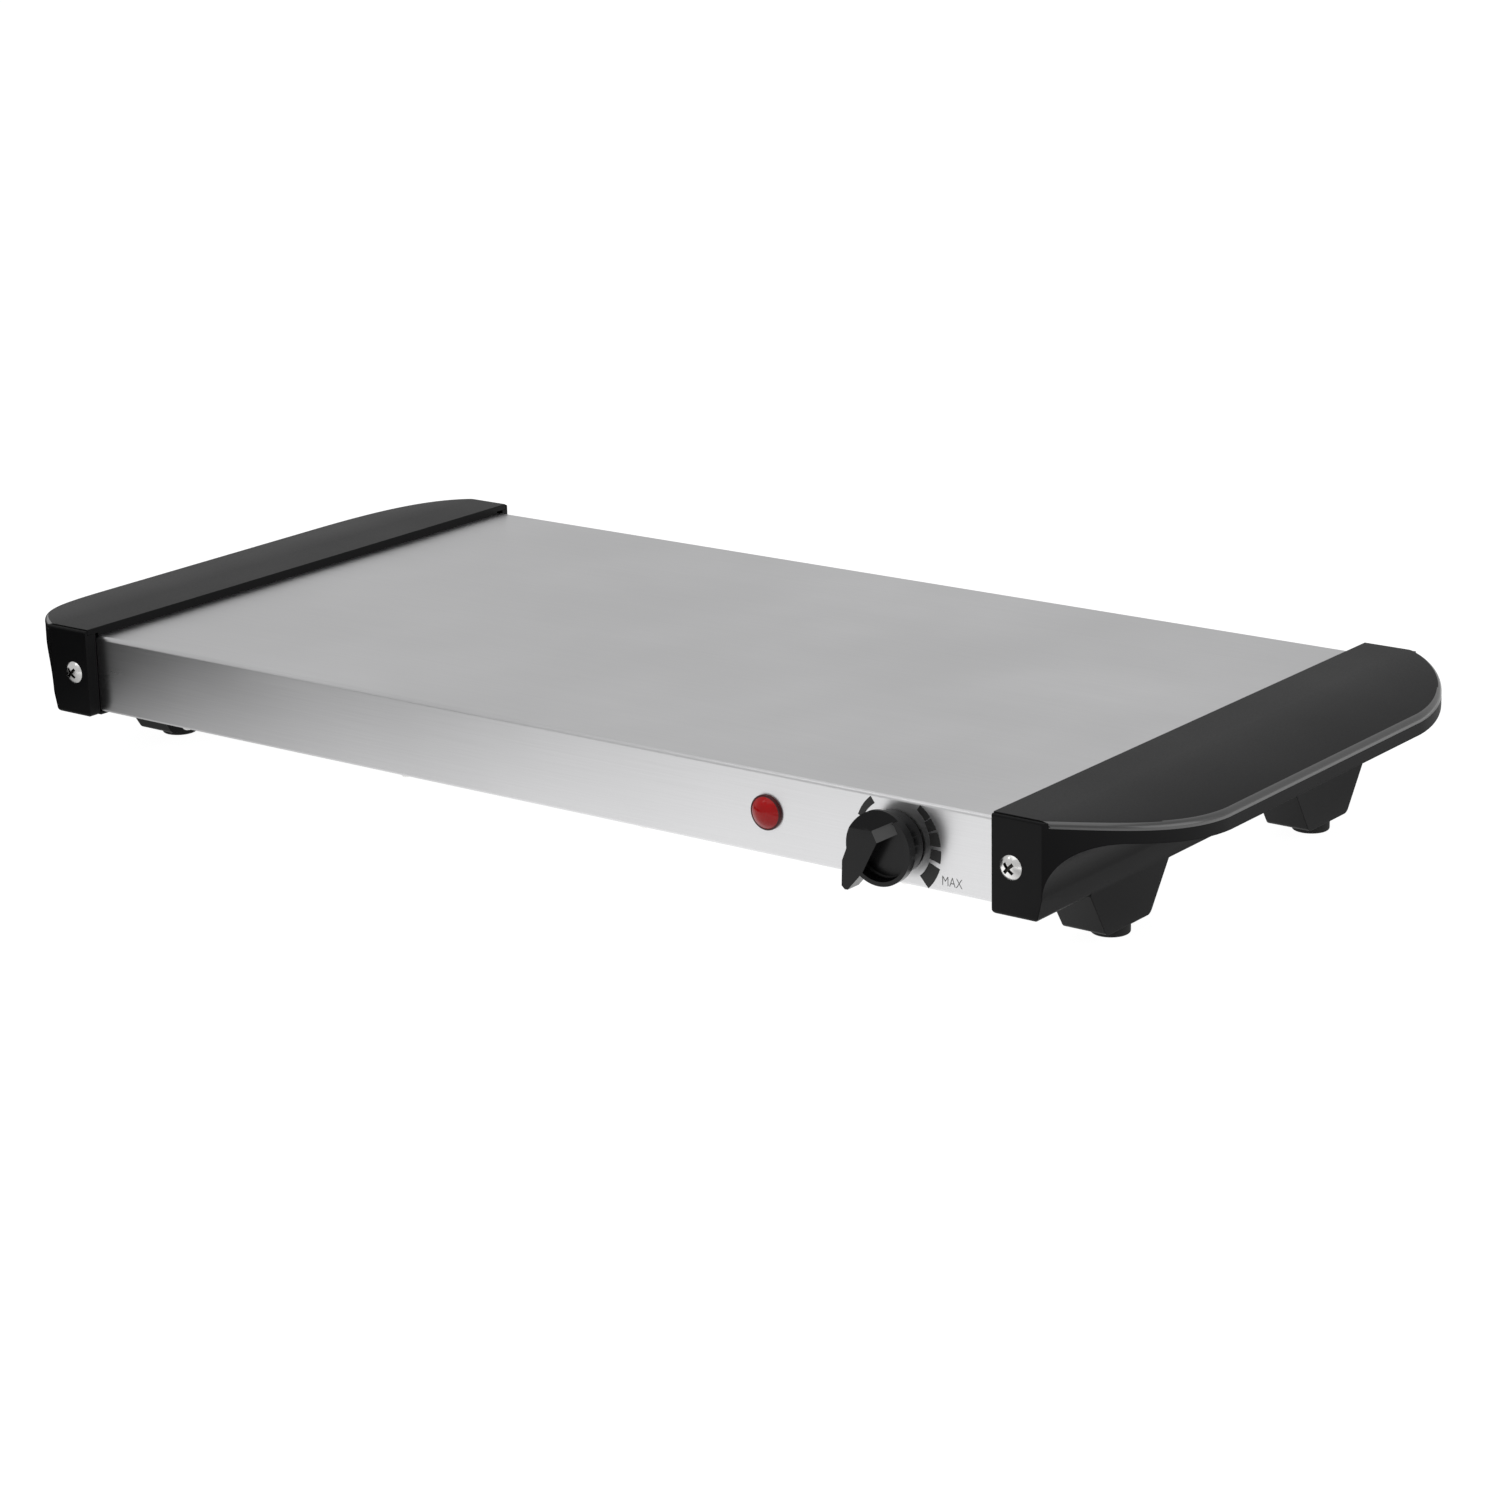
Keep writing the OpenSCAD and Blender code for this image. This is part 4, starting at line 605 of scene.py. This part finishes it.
@dataclass
class ScrewSet:
    """A set of equal pan-head screws with cross recesses, laid out by a node tree."""

    name: str
    node: str
    head_r: float
    head_h: float
    shank_r: float
    length: float
    places: list[tuple[Point, Aim]]
    recess_l: float = 6.0
    recess_w: float = 1.5
    recess_d: float = 1.3
    head_sides: int = 40
    shank_sides: int = 24

    def tree(self, numbers: Iterable[str]) -> NodeTree:
        """Builds the tree that makes one screw and sets it on every place.

        Args:
            numbers: The names of the tree's number inputs.

        Returns:
            The node tree, the same one for every set.
        """
        made = bpy.data.node_groups.get("pan head screws")
        if made:
            return made
        made = node_group("pan head screws", numbers, ("Material", "Recess Shade Material"))
        given = add(made, "NodeGroupInput").outputs

        def shift(mesh: Node, z: NodeSocket, turn: float = 0.0) -> Node:
            """Moves a mesh along Z and turns it about Z."""
            move = add(made, "ShaderNodeCombineXYZ", {"Z": z})
            return add(made, "GeometryNodeTransform", {"Geometry": mesh, "Translation": move,
                                                       "Rotation": (0.0, 0.0, turn)})

        ball = add(made, "GeometryNodeMeshUVSphere", {"Segments": self.head_sides, "Rings": self.head_sides,
                                                      "Radius": given["Crown Radius"]})
        crown = shift(ball, calc(made, "SUBTRACT", given["Head Height"], given["Crown Radius"]))
        drum = add(made, "GeometryNodeMeshCylinder", {"Vertices": self.head_sides, "Radius": given["Head Radius"],
                                                      "Depth": given["Head Height"]})
        raised = shift(drum, calc(made, "MULTIPLY", given["Head Height"], 0.5))
        head = add(made, "GeometryNodeMeshBoolean", {"Mesh 2": [crown, raised]}, operation="INTERSECT",
                   solver="EXACT")
        tall = calc(made, "MULTIPLY", given["Recess Depth"], 2.0)
        size = add(made, "ShaderNodeCombineXYZ", {"X": given["Recess Length"], "Y": given["Recess Width"],
                                                  "Z": tall})
        plain = add(made, "GeometryNodeMeshCube", {"Size": size})
        # The recess's bars carry the dark grey, so the faces they cut take it: painted shade.
        bar = add(made, "GeometryNodeSetMaterial", {"Geometry": plain,
                                                    "Material": given["Recess Shade Material"]})
        bars = [shift(bar, given["Head Height"], turn) for turn in (math.pi / 4, -math.pi / 4)]
        cut = add(made, "GeometryNodeMeshBoolean", {"Mesh 1": head, "Mesh 2": bars}, operation="DIFFERENCE",
                  solver="EXACT")
        stem = add(made, "GeometryNodeMeshCylinder", {"Vertices": self.shank_sides, "Depth": given["Length"],
                                                      "Radius": given["Shank Radius"]})
        shank = shift(stem, calc(made, "MULTIPLY", given["Length"], -0.5))
        screw = add(made, "GeometryNodeJoinGeometry", {0: [cut, shank]})
        dots = add(made, "GeometryNodeMeshToPoints", {"Mesh": given["Geometry"]})
        aim = add(made, "GeometryNodeInputNamedAttribute", {"Name": "aim"}, data_type="FLOAT_VECTOR")
        turned = add(made, "FunctionNodeAlignRotationToVector", {"Vector": aim}, axis="Z")
        placed = add(made, "GeometryNodeInstanceOnPoints", {"Points": dots, "Instance": screw,
                                                            "Rotation": turned})
        real = add(made, "GeometryNodeRealizeInstances", {"Geometry": placed})
        # Faces cut by the bars keep the dark grey as painted shade; the rest are plated.
        inside = add(made, "GeometryNodeMaterialSelection", {"Material": given["Recess Shade Material"]})
        rest = add(made, "FunctionNodeBooleanMath", {0: inside}, operation="NOT")
        dressed = add(made, "GeometryNodeSetMaterial", {"Geometry": real, "Selection": rest,
                                                        "Material": given["Material"]})
        add(made, "NodeGroupOutput", {"Geometry": dressed})
        return made

    def build(self) -> None:
        """Lays out the screws, makes them one plain mesh and puts it in place of the CAD node."""
        mesh = bpy.data.meshes.new(self.name + "_places")
        mesh.from_pydata([tuple(c * MM for c in p) for p, _ in self.places], [], [])
        aims = mesh.attributes.new("aim", "FLOAT_VECTOR", "POINT")
        aims.data.foreach_set("vector", [c for _, way in self.places for c in way.value])
        values = {"Head Radius": self.head_r, "Head Height": self.head_h,
                  "Crown Radius": (self.head_r**2 + self.head_h**2) / (2 * self.head_h),
                  "Shank Radius": self.shank_r, "Length": self.length, "Recess Length": self.recess_l,
                  "Recess Width": self.recess_w, "Recess Depth": self.recess_d}
        finishes = {"Material": NICKEL, "Recess Shade Material": RECESS_SHADE}
        made = grow(self.name, mesh, self.tree(values), {k: v * MM for k, v in values.items()}, finishes)
        smooth(made.data, SMOOTH_ANGLE)
        place_piece(made, "tray", "screw_steel", self.node)


def grow(name: str, mesh: Mesh, tree: NodeTree, values: dict[str, float],
         finishes: dict[str, Finish]) -> Object:
    """Runs a node tree on a mesh and keeps its result as a plain piece.

    Args:
        name: The new piece's name.
        mesh: The mesh that the tree starts from.
        tree: The tree.
        values: The tree's number inputs by name, in metres or plain numbers.
        finishes: The tree's material inputs by name.

    Returns:
        The new piece, without a modifier.
    """
    seed = stand(name + "_seed", mesh)
    modifier = seed.modifiers.new("tree", "NODES")
    modifier.node_group = tree
    for item in tree.interface.items_tree:
        if item.in_out == "INPUT" and item.name in values:
            modifier[item.identifier] = values[item.name]
        elif item.in_out == "INPUT" and item.name in finishes:
            modifier[item.identifier] = finishes[item.name].material()
    graph = bpy.context.evaluated_depsgraph_get()
    grown = bpy.data.meshes.new_from_object(seed.evaluated_get(graph))
    bpy.data.objects.remove(seed)
    return stand(name, grown)


@dataclass
class TraySheet:
    """The folded stainless body and the printed scale on its front face.

    Each of marks is an angle, a sweep, the inner radius at its start and end, and the outer one at both.
    """

    front_y: float = -152.0
    proud: float = 0.04
    sheet_angle: float = 35.0
    mark_columns: int = 13
    mark_weld: float = 1e-7
    word_weld: float = 1e-8
    word_thinning: float = -0.012
    knob: tuple[float, float] = (211.0, 46.7)
    marks: tuple[tuple[float, float, float, float, float, float], ...] = (
        (157.0, -30.0, 18.9, 18.5, 21.6, 22.0), (56.0, -18.0, 18.6, 18.3, 21.6, 21.8),
        (36.5, -14.0, 17.8, 17.4, 21.6, 22.0), (20.0, -17.0, 17.4, 17.1, 22.1, 22.4),
        (-1.5, -14.5, 17.4, 17.3, 22.6, 23.0), (-21.5, -27.0, 17.7, 17.7, 23.6, 24.2))
    word_box: tuple[float, float, float, float] = (234.1, 31.4, 244.2, 35.5)

    def mark_tree(self) -> NodeTree:
        """Builds the tree that bends a strip into one mark of the scale."""
        numbers = ("Start", "Sweep", "Inner Start", "Inner End", "Outer Start", "Outer End", "Thickness")
        made = node_group("scale mark", numbers, ("Material",))
        given = add(made, "NodeGroupInput").outputs
        strip = add(made, "GeometryNodeMeshGrid", {"Size X": 1.0, "Size Y": 1.0, "Vertices X": self.mark_columns,
                                                   "Vertices Y": 2})
        parts = add(made, "ShaderNodeSeparateXYZ", {0: add(made, "GeometryNodeInputPosition")}).outputs
        along, across = calc(made, "ADD", parts["X"], 0.5), calc(made, "ADD", parts["Y"], 0.5)
        turn = calc(made, "MULTIPLY_ADD", along, given["Sweep"], given["Start"])
        edges = []
        for edge in ("Inner", "Outer"):
            widen = calc(made, "SUBTRACT", given[edge + " End"], given[edge + " Start"])
            edges.append(calc(made, "MULTIPLY_ADD", along, widen, given[edge + " Start"]))
        radius = calc(made, "MULTIPLY_ADD", across, calc(made, "SUBTRACT", edges[1], edges[0]), edges[0])
        x = calc(made, "MULTIPLY", radius, calc(made, "COSINE", turn))
        z = calc(made, "MULTIPLY", radius, calc(made, "SINE", turn))
        bent = add(made, "ShaderNodeCombineXYZ", {"X": x, "Z": z})
        shaped = add(made, "GeometryNodeSetPosition", {"Geometry": strip, "Position": bent})
        raised = add(made, "GeometryNodeExtrudeMesh", {"Mesh": shaped, "Offset": (0.0, -1.0, 0.0),
                                                       "Offset Scale": given["Thickness"], "Individual": False})
        back = add(made, "GeometryNodeFlipFaces", {"Mesh": shaped})
        whole = add(made, "GeometryNodeJoinGeometry", {0: [raised, back]})
        real = add(made, "GeometryNodeRealizeInstances", {"Geometry": whole})
        dressed = add(made, "GeometryNodeSetMaterial", {"Geometry": real, "Material": given["Material"]})
        add(made, "NodeGroupOutput", {"Geometry": dressed})
        return made

    def scale_marks(self) -> Object:
        """Prints the growing marks of the heat scale round the knob."""
        tree = self.mark_tree()
        work = bmesh.new()
        for number, (start, sweep, *edges) in enumerate(self.marks):
            values = {"Start": math.radians(start), "Sweep": math.radians(sweep), "Thickness": self.proud * MM}
            for label, edge in zip(("Inner Start", "Inner End", "Outer Start", "Outer End"), edges):
                values[label] = edge * MM
            one = grow(f"mark_{number}", bpy.data.meshes.new("mark"), tree, values, {"Material": DIAL_INK})
            work.from_mesh(one.data)
            bpy.data.objects.remove(one)
        mesh = bpy.data.meshes.new("scale_print")
        work.to_mesh(mesh)
        work.free()
        close_up(mesh, self.mark_weld)
        mesh.transform(Matrix.Translation(Vector((self.knob[0], self.front_y, self.knob[1])) * MM))
        return link("scale_print", mesh, DIAL_INK)

    def word(self) -> Object:
        """Prints the word at the hot end of the scale."""
        x0, z0, x1, z1 = self.word_box
        curve = bpy.data.curves.new("word", "FONT")
        curve.body = "MAX"
        curve.offset = self.word_thinning
        curve.extrude = 0.5
        lettering = stand("word", curve)
        mesh = bpy.data.meshes.new_from_object(lettering.evaluated_get(bpy.context.evaluated_depsgraph_get()))
        bpy.data.objects.remove(lettering)
        low = [min(v.co[k] for v in mesh.vertices) for k in range(3)]
        high = [max(v.co[k] for v in mesh.vertices) for k in range(3)]
        for v in mesh.vertices:
            s = [(v.co[k] - low[k]) / (high[k] - low[k]) for k in range(3)]
            v.co = Vector((x0 + s[0] * (x1 - x0), self.front_y - s[2] * self.proud, z0 + s[1] * (z1 - z0))) * MM
        close_up(mesh, self.word_weld)
        return link("scale_word", mesh, WORD_INK)

    def build(self) -> None:
        """Dresses the folded sheet and prints its scale."""
        sheet = merged_copy("top_panel", "folded_sheet", self.sheet_angle)
        place_piece(sheet, "tray", "top_steel", "top_panel")
        place_piece(self.scale_marks(), "tray", "top_steel")
        place_piece(self.word(), "tray", "top_steel")


@dataclass
class EndHandle:
    """One end handle: the domed cover and the base with its end blocks, wall, wing and legs."""

    side: int

    @property
    def word(self) -> str:
        """The side's name."""
        return "left" if self.side < 0 else "right"

    def build(self) -> None:
        """Builds the dome and dresses the base."""
        cover = HandleCover(self.side)
        dome = cover.build()
        # The rim and the band under it take a glossier, slightly lighter copy of the black: a painted highlight
        # and a painted lighter band.
        cover.paint_rim_sheen(dome.data)
        place_piece(dome, "tray", "handle_plastic", f"{self.word}_handle_cover")
        base = merged_copy(f"{self.word}_handle_base", f"{self.word}_handle_body")
        place_piece(base, "tray", "handle_plastic", f"{self.word}_handle_base")


@dataclass
class Controls:
    """The knob and the lamp's lens. Profiles are pairs of radius and distance in front of the face."""

    lamp: tuple[float, float] = (143.0, 47.5)
    front_y: float = -152.0
    segments: int = 64
    cap_steps: int = 14
    knob_angle: float = 30.0
    slope_match: float = 0.998
    lens: tuple[tuple[float, float], ...] = (
        (0.0, 1.4), (4.9, 1.4), (4.9, -10.0), (6.3, -10.0), (6.3, 0.0), (8.0, 0.0), (8.0, 0.95), (7.93, 1.2),
        (7.75, 1.36), (7.5, 1.4), (7.1, 1.4))
    dome: tuple[float, float] = (7.1, 3.4)
    knob: tuple[float, float] = (211.0, 46.7)
    slope: Point = (0.556, -0.777, 0.295)
    fillet: tuple[tuple[float, float], ...] = (
        (13.2, 7.6), (14.3, 7.7), (14.42, 8.3), (14.4, 8.85), (14.28, 9.05), (14.05, 8.6), (13.75, 8.25),
        (13.2, 8.02))

    def turned(self, name: str, centre: tuple[float, float], profile: Sequence[tuple[float, float]],
               finish: Finish) -> Object:
        """Turns a profile about an axis square to the front face into a closed piece.

        Args:
            name: The piece's name.
            centre: The axis's X and Z.
            profile: The profile's points. One at radius 0 becomes a single point on the axis.
            finish: The piece's finish.

        Returns:
            The new piece.
        """
        points: list[Point] = []
        rows: list[list[int]] = []
        for r, out in profile:
            row = []
            for i in range(self.segments if r else 1):
                a = 2 * math.pi * i / self.segments
                row.append(len(points))
                points.append((centre[0] + r * math.cos(a), self.front_y - out, centre[1] + r * math.sin(a)))
            rows.append(row)
        faces = []
        for one, two in zip(rows, rows[1:]):
            for i in range(self.segments):
                j = (i + 1) % self.segments
                quad = [one[i % len(one)], one[j % len(one)], two[j % len(two)], two[i % len(two)]]
                faces.append(list(dict.fromkeys(quad)))
        return piece_from(name, points, faces, finish)

    def build(self) -> None:
        """Builds the lens with its dome, dresses the knob and closes the slit round the knob's recess."""
        r, h = self.dome
        crown = (r * r + h * h) / (2 * h)
        rim = self.lens[-1][1]
        cap = []
        for i in range(1, self.cap_steps + 1):
            a = math.asin(r / crown) * (1 - i / self.cap_steps)
            cap.append((crown * math.sin(a), rim + h - crown + crown * math.cos(a)))
        lens = self.turned("lamp_lens", self.lamp, [*self.lens, *cap], RED_LENS)
        lens.data.materials.append(RED_RIM_SHADE.material())
        # Faces no further out than the rim take the darker copy of the red: painted shade.
        for face in lens.data.polygons:
            out = self.front_y - face.center.y / MM
            face.material_index = 0 if out > rim + TINY else 1
        place_piece(lens, "tray", "lens_plastic", "indicator_lens")
        knob = merged_copy("control_knob", "heat_knob", self.knob_angle)
        knob.data.materials.append(SLOPE_SHEEN_BLACK.material())
        # The sloping grip faces take the glossier, lighter copy of the black: a painted sheen.
        slope = Vector(self.slope).normalized()
        for face in knob.data.polygons:
            face.material_index = 1 if face.normal.dot(slope) > self.slope_match else 0
        place_piece(knob, "knob", "knob_plastic", "control_knob")
        fillet = self.turned("knob_root_fillet", self.knob, [*self.fillet, self.fillet[0]], POLISHED_BLACK)
        place_piece(fillet, "knob", "knob_plastic")


@dataclass
class Fasteners:
    """Every screw that shows from outside.

    Each place is the distance from the middle along X and Y, and the height. The handles' middle lies at
    handle_y and the pan's at pan_y. For the pan's rows, the distance along X is the row's length.
    """

    handle_y: float = -0.35
    pan_y: float = 1.0
    pan_n: int = 4
    block: Point = (272.9, 158.7, 48.1)
    pan: Point = (421.6, 146.5, 27.4)
    cover: Point = (301.5, 158.7, 61.2)
    cover_shares: tuple[float, float] = (0.31, 0.71)
    foot: Point = (276.1, 86.2, 2.8)

    def sets(self) -> list[ScrewSet]:
        """The screw sets with their places, in the part's frame."""
        both = (-1, 1)
        (bx, by, bz), (px, py, pz), (cx, cy, cz), (fx, fy, fz) = self.block, self.pan, self.cover, self.foot
        block = [((x * bx, way.value[1] * by + self.handle_y, bz), way)
                 for x in both for way in (Aim.FRONT, Aim.REAR)]
        pan = [((px * (i / (self.pan_n - 1) - 0.5), self.pan_y + s * py, pz), Aim.DOWN)
               for i in range(self.pan_n) for s in both]
        cover = [((x * cx, s * share * cy + self.handle_y, cz), Aim.DOWN)
                 for x in both for s in both for share in self.cover_shares]
        foot = [((x * fx, s * fy + self.handle_y, fz), Aim.DOWN) for x in both for s in both]
        small = dict(recess_l=3.3, recess_w=0.83, recess_d=1.03)
        return [ScrewSet("end_block_screws", "handle_screws", 5.45, 2.4, 2.45, 14.3, block),
                ScrewSet("pan_screws", "base_screws", 3.0, 1.9, 1.5, 6.0, pan, **small),
                ScrewSet("dome_screws", "cover_screws", 3.0, 1.9, 1.5, 6.0, cover, **small),
                ScrewSet("foot_hold_screws", "foot_screws", 3.6, 2.0, 1.9, 9.0, foot, 4.0, 1.0, 1.08)]

    def build(self) -> None:
        """Builds every set."""
        for one in self.sets():
            one.build()


def dress_underside() -> None:
    """Dresses the rubber feet and the cord inlet with smooth copies."""
    for corner in ("front_left", "front_right", "rear_left", "rear_right"):
        place_piece(merged_copy(f"{corner}_foot", f"{corner}_rubber"), "tray", "foot_rubber", f"{corner}_foot")
    place_piece(merged_copy("cord_gland", "cord_inlet_bush"), "tray", "gland_plastic", "cord_gland")


@dataclass
class Studio:
    """The camera, the lights, the floor and the white surround.

    sky holds the surround's strengths as light, in reflections and to the camera. dusk paints shade into the
    floor's reflection along X, darker towards the left: where it starts, its width, its curve and its strength.
    shadow is a painted shadow in that reflection, a darker stretch under the right handle: its middle, what is
    left there, and where its edge begins and ends.
    floor_matt holds the floor's paleness to the camera and to soft light.
    """

    azimuth: float = 37.183
    elevation: float = 16.686
    roll: float = -1.119
    shift: tuple[float, float] = (-15.295, 32.408)
    distance: float = 1961.0
    focal_px: float = 4094.0
    clip: tuple[float, float] = (0.05, 50.0)
    centre: Point = (0.0, 1.0, 47.2)
    sky: Point = (0.4, 0.66, 1.0)
    dusk: tuple[float, float, float, float] = (-0.36, 0.41, 0.5, 1.32)
    shadow: tuple[float, float, float, float] = (0.35, 0.42, 0.03, 0.13)
    floor_half: float = 6.0
    floor_glow: float = 0.97
    floor_matt: tuple[float, float] = (0.2, 0.6)
    lamps: tuple[tuple[str, Point, Point, tuple[float, float], float], ...] = (
        ("key", (0.3, -0.3, 1.9), (0.1, 0.0, 0.05), (2.4, 2.4), 12.5),
        ("fill", (1.5, 0.2, 0.5), (0.3, 0.0, 0.05), (0.9, 0.7), 2.5),
        ("spark", (-0.5, -0.8, 0.97), (0.14, -0.15, 0.05), (0.25, 0.25), 0.4))

    def camera(self) -> None:
        """Sets the camera where the photograph was taken."""
        a, e, r = (math.radians(v) for v in (self.azimuth, self.elevation, self.roll))
        forward = Vector((-math.sin(a) * math.cos(e), math.cos(a) * math.cos(e), -math.sin(e)))
        right = Vector((math.cos(a), math.sin(a), 0.0))
        up = right.cross(forward)
        across = math.cos(r) * right + math.sin(r) * up
        upward = -math.sin(r) * right + math.cos(r) * up
        spot = Vector(self.centre) - forward * self.distance - across * self.shift[0] - upward * self.shift[1]
        data = bpy.data.cameras.new("camera")
        data.sensor_width = SENSOR_MM
        data.lens = self.focal_px / FRAME_PX * SENSOR_MM
        data.clip_start, data.clip_end = self.clip
        camera = stand("camera", data)
        turn = Matrix((across, upward, -forward)).transposed().to_4x4()
        camera.matrix_world = Matrix.Translation(spot * MM) @ turn
        bpy.context.scene.camera = camera

    def lamp(self, name: str, spot: Point, aim: Point, size: tuple[float, float], power: float) -> None:
        """Hangs one soft rectangular lamp.

        Args:
            name: The lamp's name.
            spot: Its place in metres.
            aim: The point that it looks at, in metres.
            size: Its width and height in metres.
            power: Its power in watts.
        """
        data = bpy.data.lights.new(name, "AREA")
        data.shape = "RECTANGLE"
        data.size, data.size_y = size
        data.energy = power
        light = stand(name, data)
        light.location = spot
        light.rotation_euler = (Vector(aim) - Vector(spot)).to_track_quat("-Z", "Y").to_euler()

    def surround(self) -> None:
        """Makes the world: white to the camera and in reflections, a soft even light to the rest."""
        world = bpy.data.worlds.new("surround")
        bpy.context.scene.world = world
        tree = bare_tree(world)
        path = add(tree, "ShaderNodeLightPath").outputs
        soft, shine, plain = (add(tree, "ShaderNodeBackground", {"Color": (1, 1, 1, 1), "Strength": s})
                              for s in self.sky)
        bright = calc(tree, "MAXIMUM", path["Is Glossy Ray"], path["Is Transmission Ray"])
        seen = mix(tree, path["Is Camera Ray"], mix(tree, bright, soft, shine), plain)
        add(tree, "ShaderNodeOutputWorld", {"Surface": seen})

    def floor(self) -> None:
        """Lays the pale floor, which keeps a faint shadow of the tray and can be looked through from below."""
        mesh = bpy.data.meshes.new("floor")
        half = self.floor_half
        mesh.from_pydata([(-half, -half, 0), (half, -half, 0), (half, half, 0), (-half, half, 0)], [],
                         [[0, 1, 2, 3]])
        paint = bpy.data.materials.new("white table")
        tree = bare_tree(paint)
        path = add(tree, "ShaderNodeLightPath").outputs
        spot = add(tree, "ShaderNodeTexCoord").outputs["Object"]
        along = add(tree, "ShaderNodeSeparateXYZ", {0: spot}).outputs["X"]
        # The floor's strength in reflections is painted: it falls off towards the left and dips under the right
        # handle, painted shade and a painted shadow seen only in reflections.
        start, width, curve, high = self.dusk
        far = add(tree, "ShaderNodeMapRange", {"Value": along, "From Min": start,
                                               "From Max": start + width})
        middle, low, inner, outer = self.shadow
        off = calc(tree, "ABSOLUTE", calc(tree, "SUBTRACT", along, middle))
        under = add(tree, "ShaderNodeMapRange", {"Value": off, "From Min": inner, "From Max": outer,
                                                 "To Min": low}, interpolation_type="SMOOTHSTEP")
        shade = calc(tree, "MULTIPLY", calc(tree, "MULTIPLY", calc(tree, "POWER", far, curve), under), high)
        matt, plain = (add(tree, "ShaderNodeBsdfDiffuse", {"Color": (pale, pale, pale, 1)})
                       for pale in self.floor_matt)
        glow, shine = (add(tree, "ShaderNodeEmission", {"Strength": strength})
                       for strength in (self.floor_glow, shade))
        white = add(tree, "ShaderNodeAddShader", {0: matt, 1: glow})
        seen = calc(tree, "MAXIMUM", path["Is Camera Ray"], path["Is Transmission Ray"])
        mixed = mix(tree, seen, mix(tree, path["Is Glossy Ray"], plain, shine), white)
        below = add(tree, "ShaderNodeNewGeometry").outputs["Backfacing"]
        clear = add(tree, "ShaderNodeBsdfTransparent")
        add(tree, "ShaderNodeOutputMaterial", {"Surface": mix(tree, below, mixed, clear)})
        mesh.materials.append(paint)
        stand("floor", mesh)

    def build(self) -> None:
        """Builds the whole studio."""
        bpy.context.scene.view_settings.view_transform = "Standard"
        self.camera()
        self.surround()
        self.floor()
        for lamp in self.lamps:
            self.lamp(*lamp)


def dress_nodes(nodes: dict[str, Object]) -> None:
    """Gives every CAD node its finish."""
    for name, finish in NODE_FINISHES.items():
        node = nodes[name]
        if not node.material_slots:
            node.data.materials.append(finish.material())
        for slot in node.material_slots:
            slot.material = finish.material()


def main() -> None:
    """Builds the tray's pieces in order."""
    logging.basicConfig(level=logging.INFO, format="%(message)s")
    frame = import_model()
    Studio().build()
    dress_nodes(frame["nodes"])
    TraySheet().build()
    EndHandle(-1).build()
    EndHandle(1).build()
    Controls().build()
    Fasteners().build()
    dress_underside()


if __name__ == "__main__":
    main()
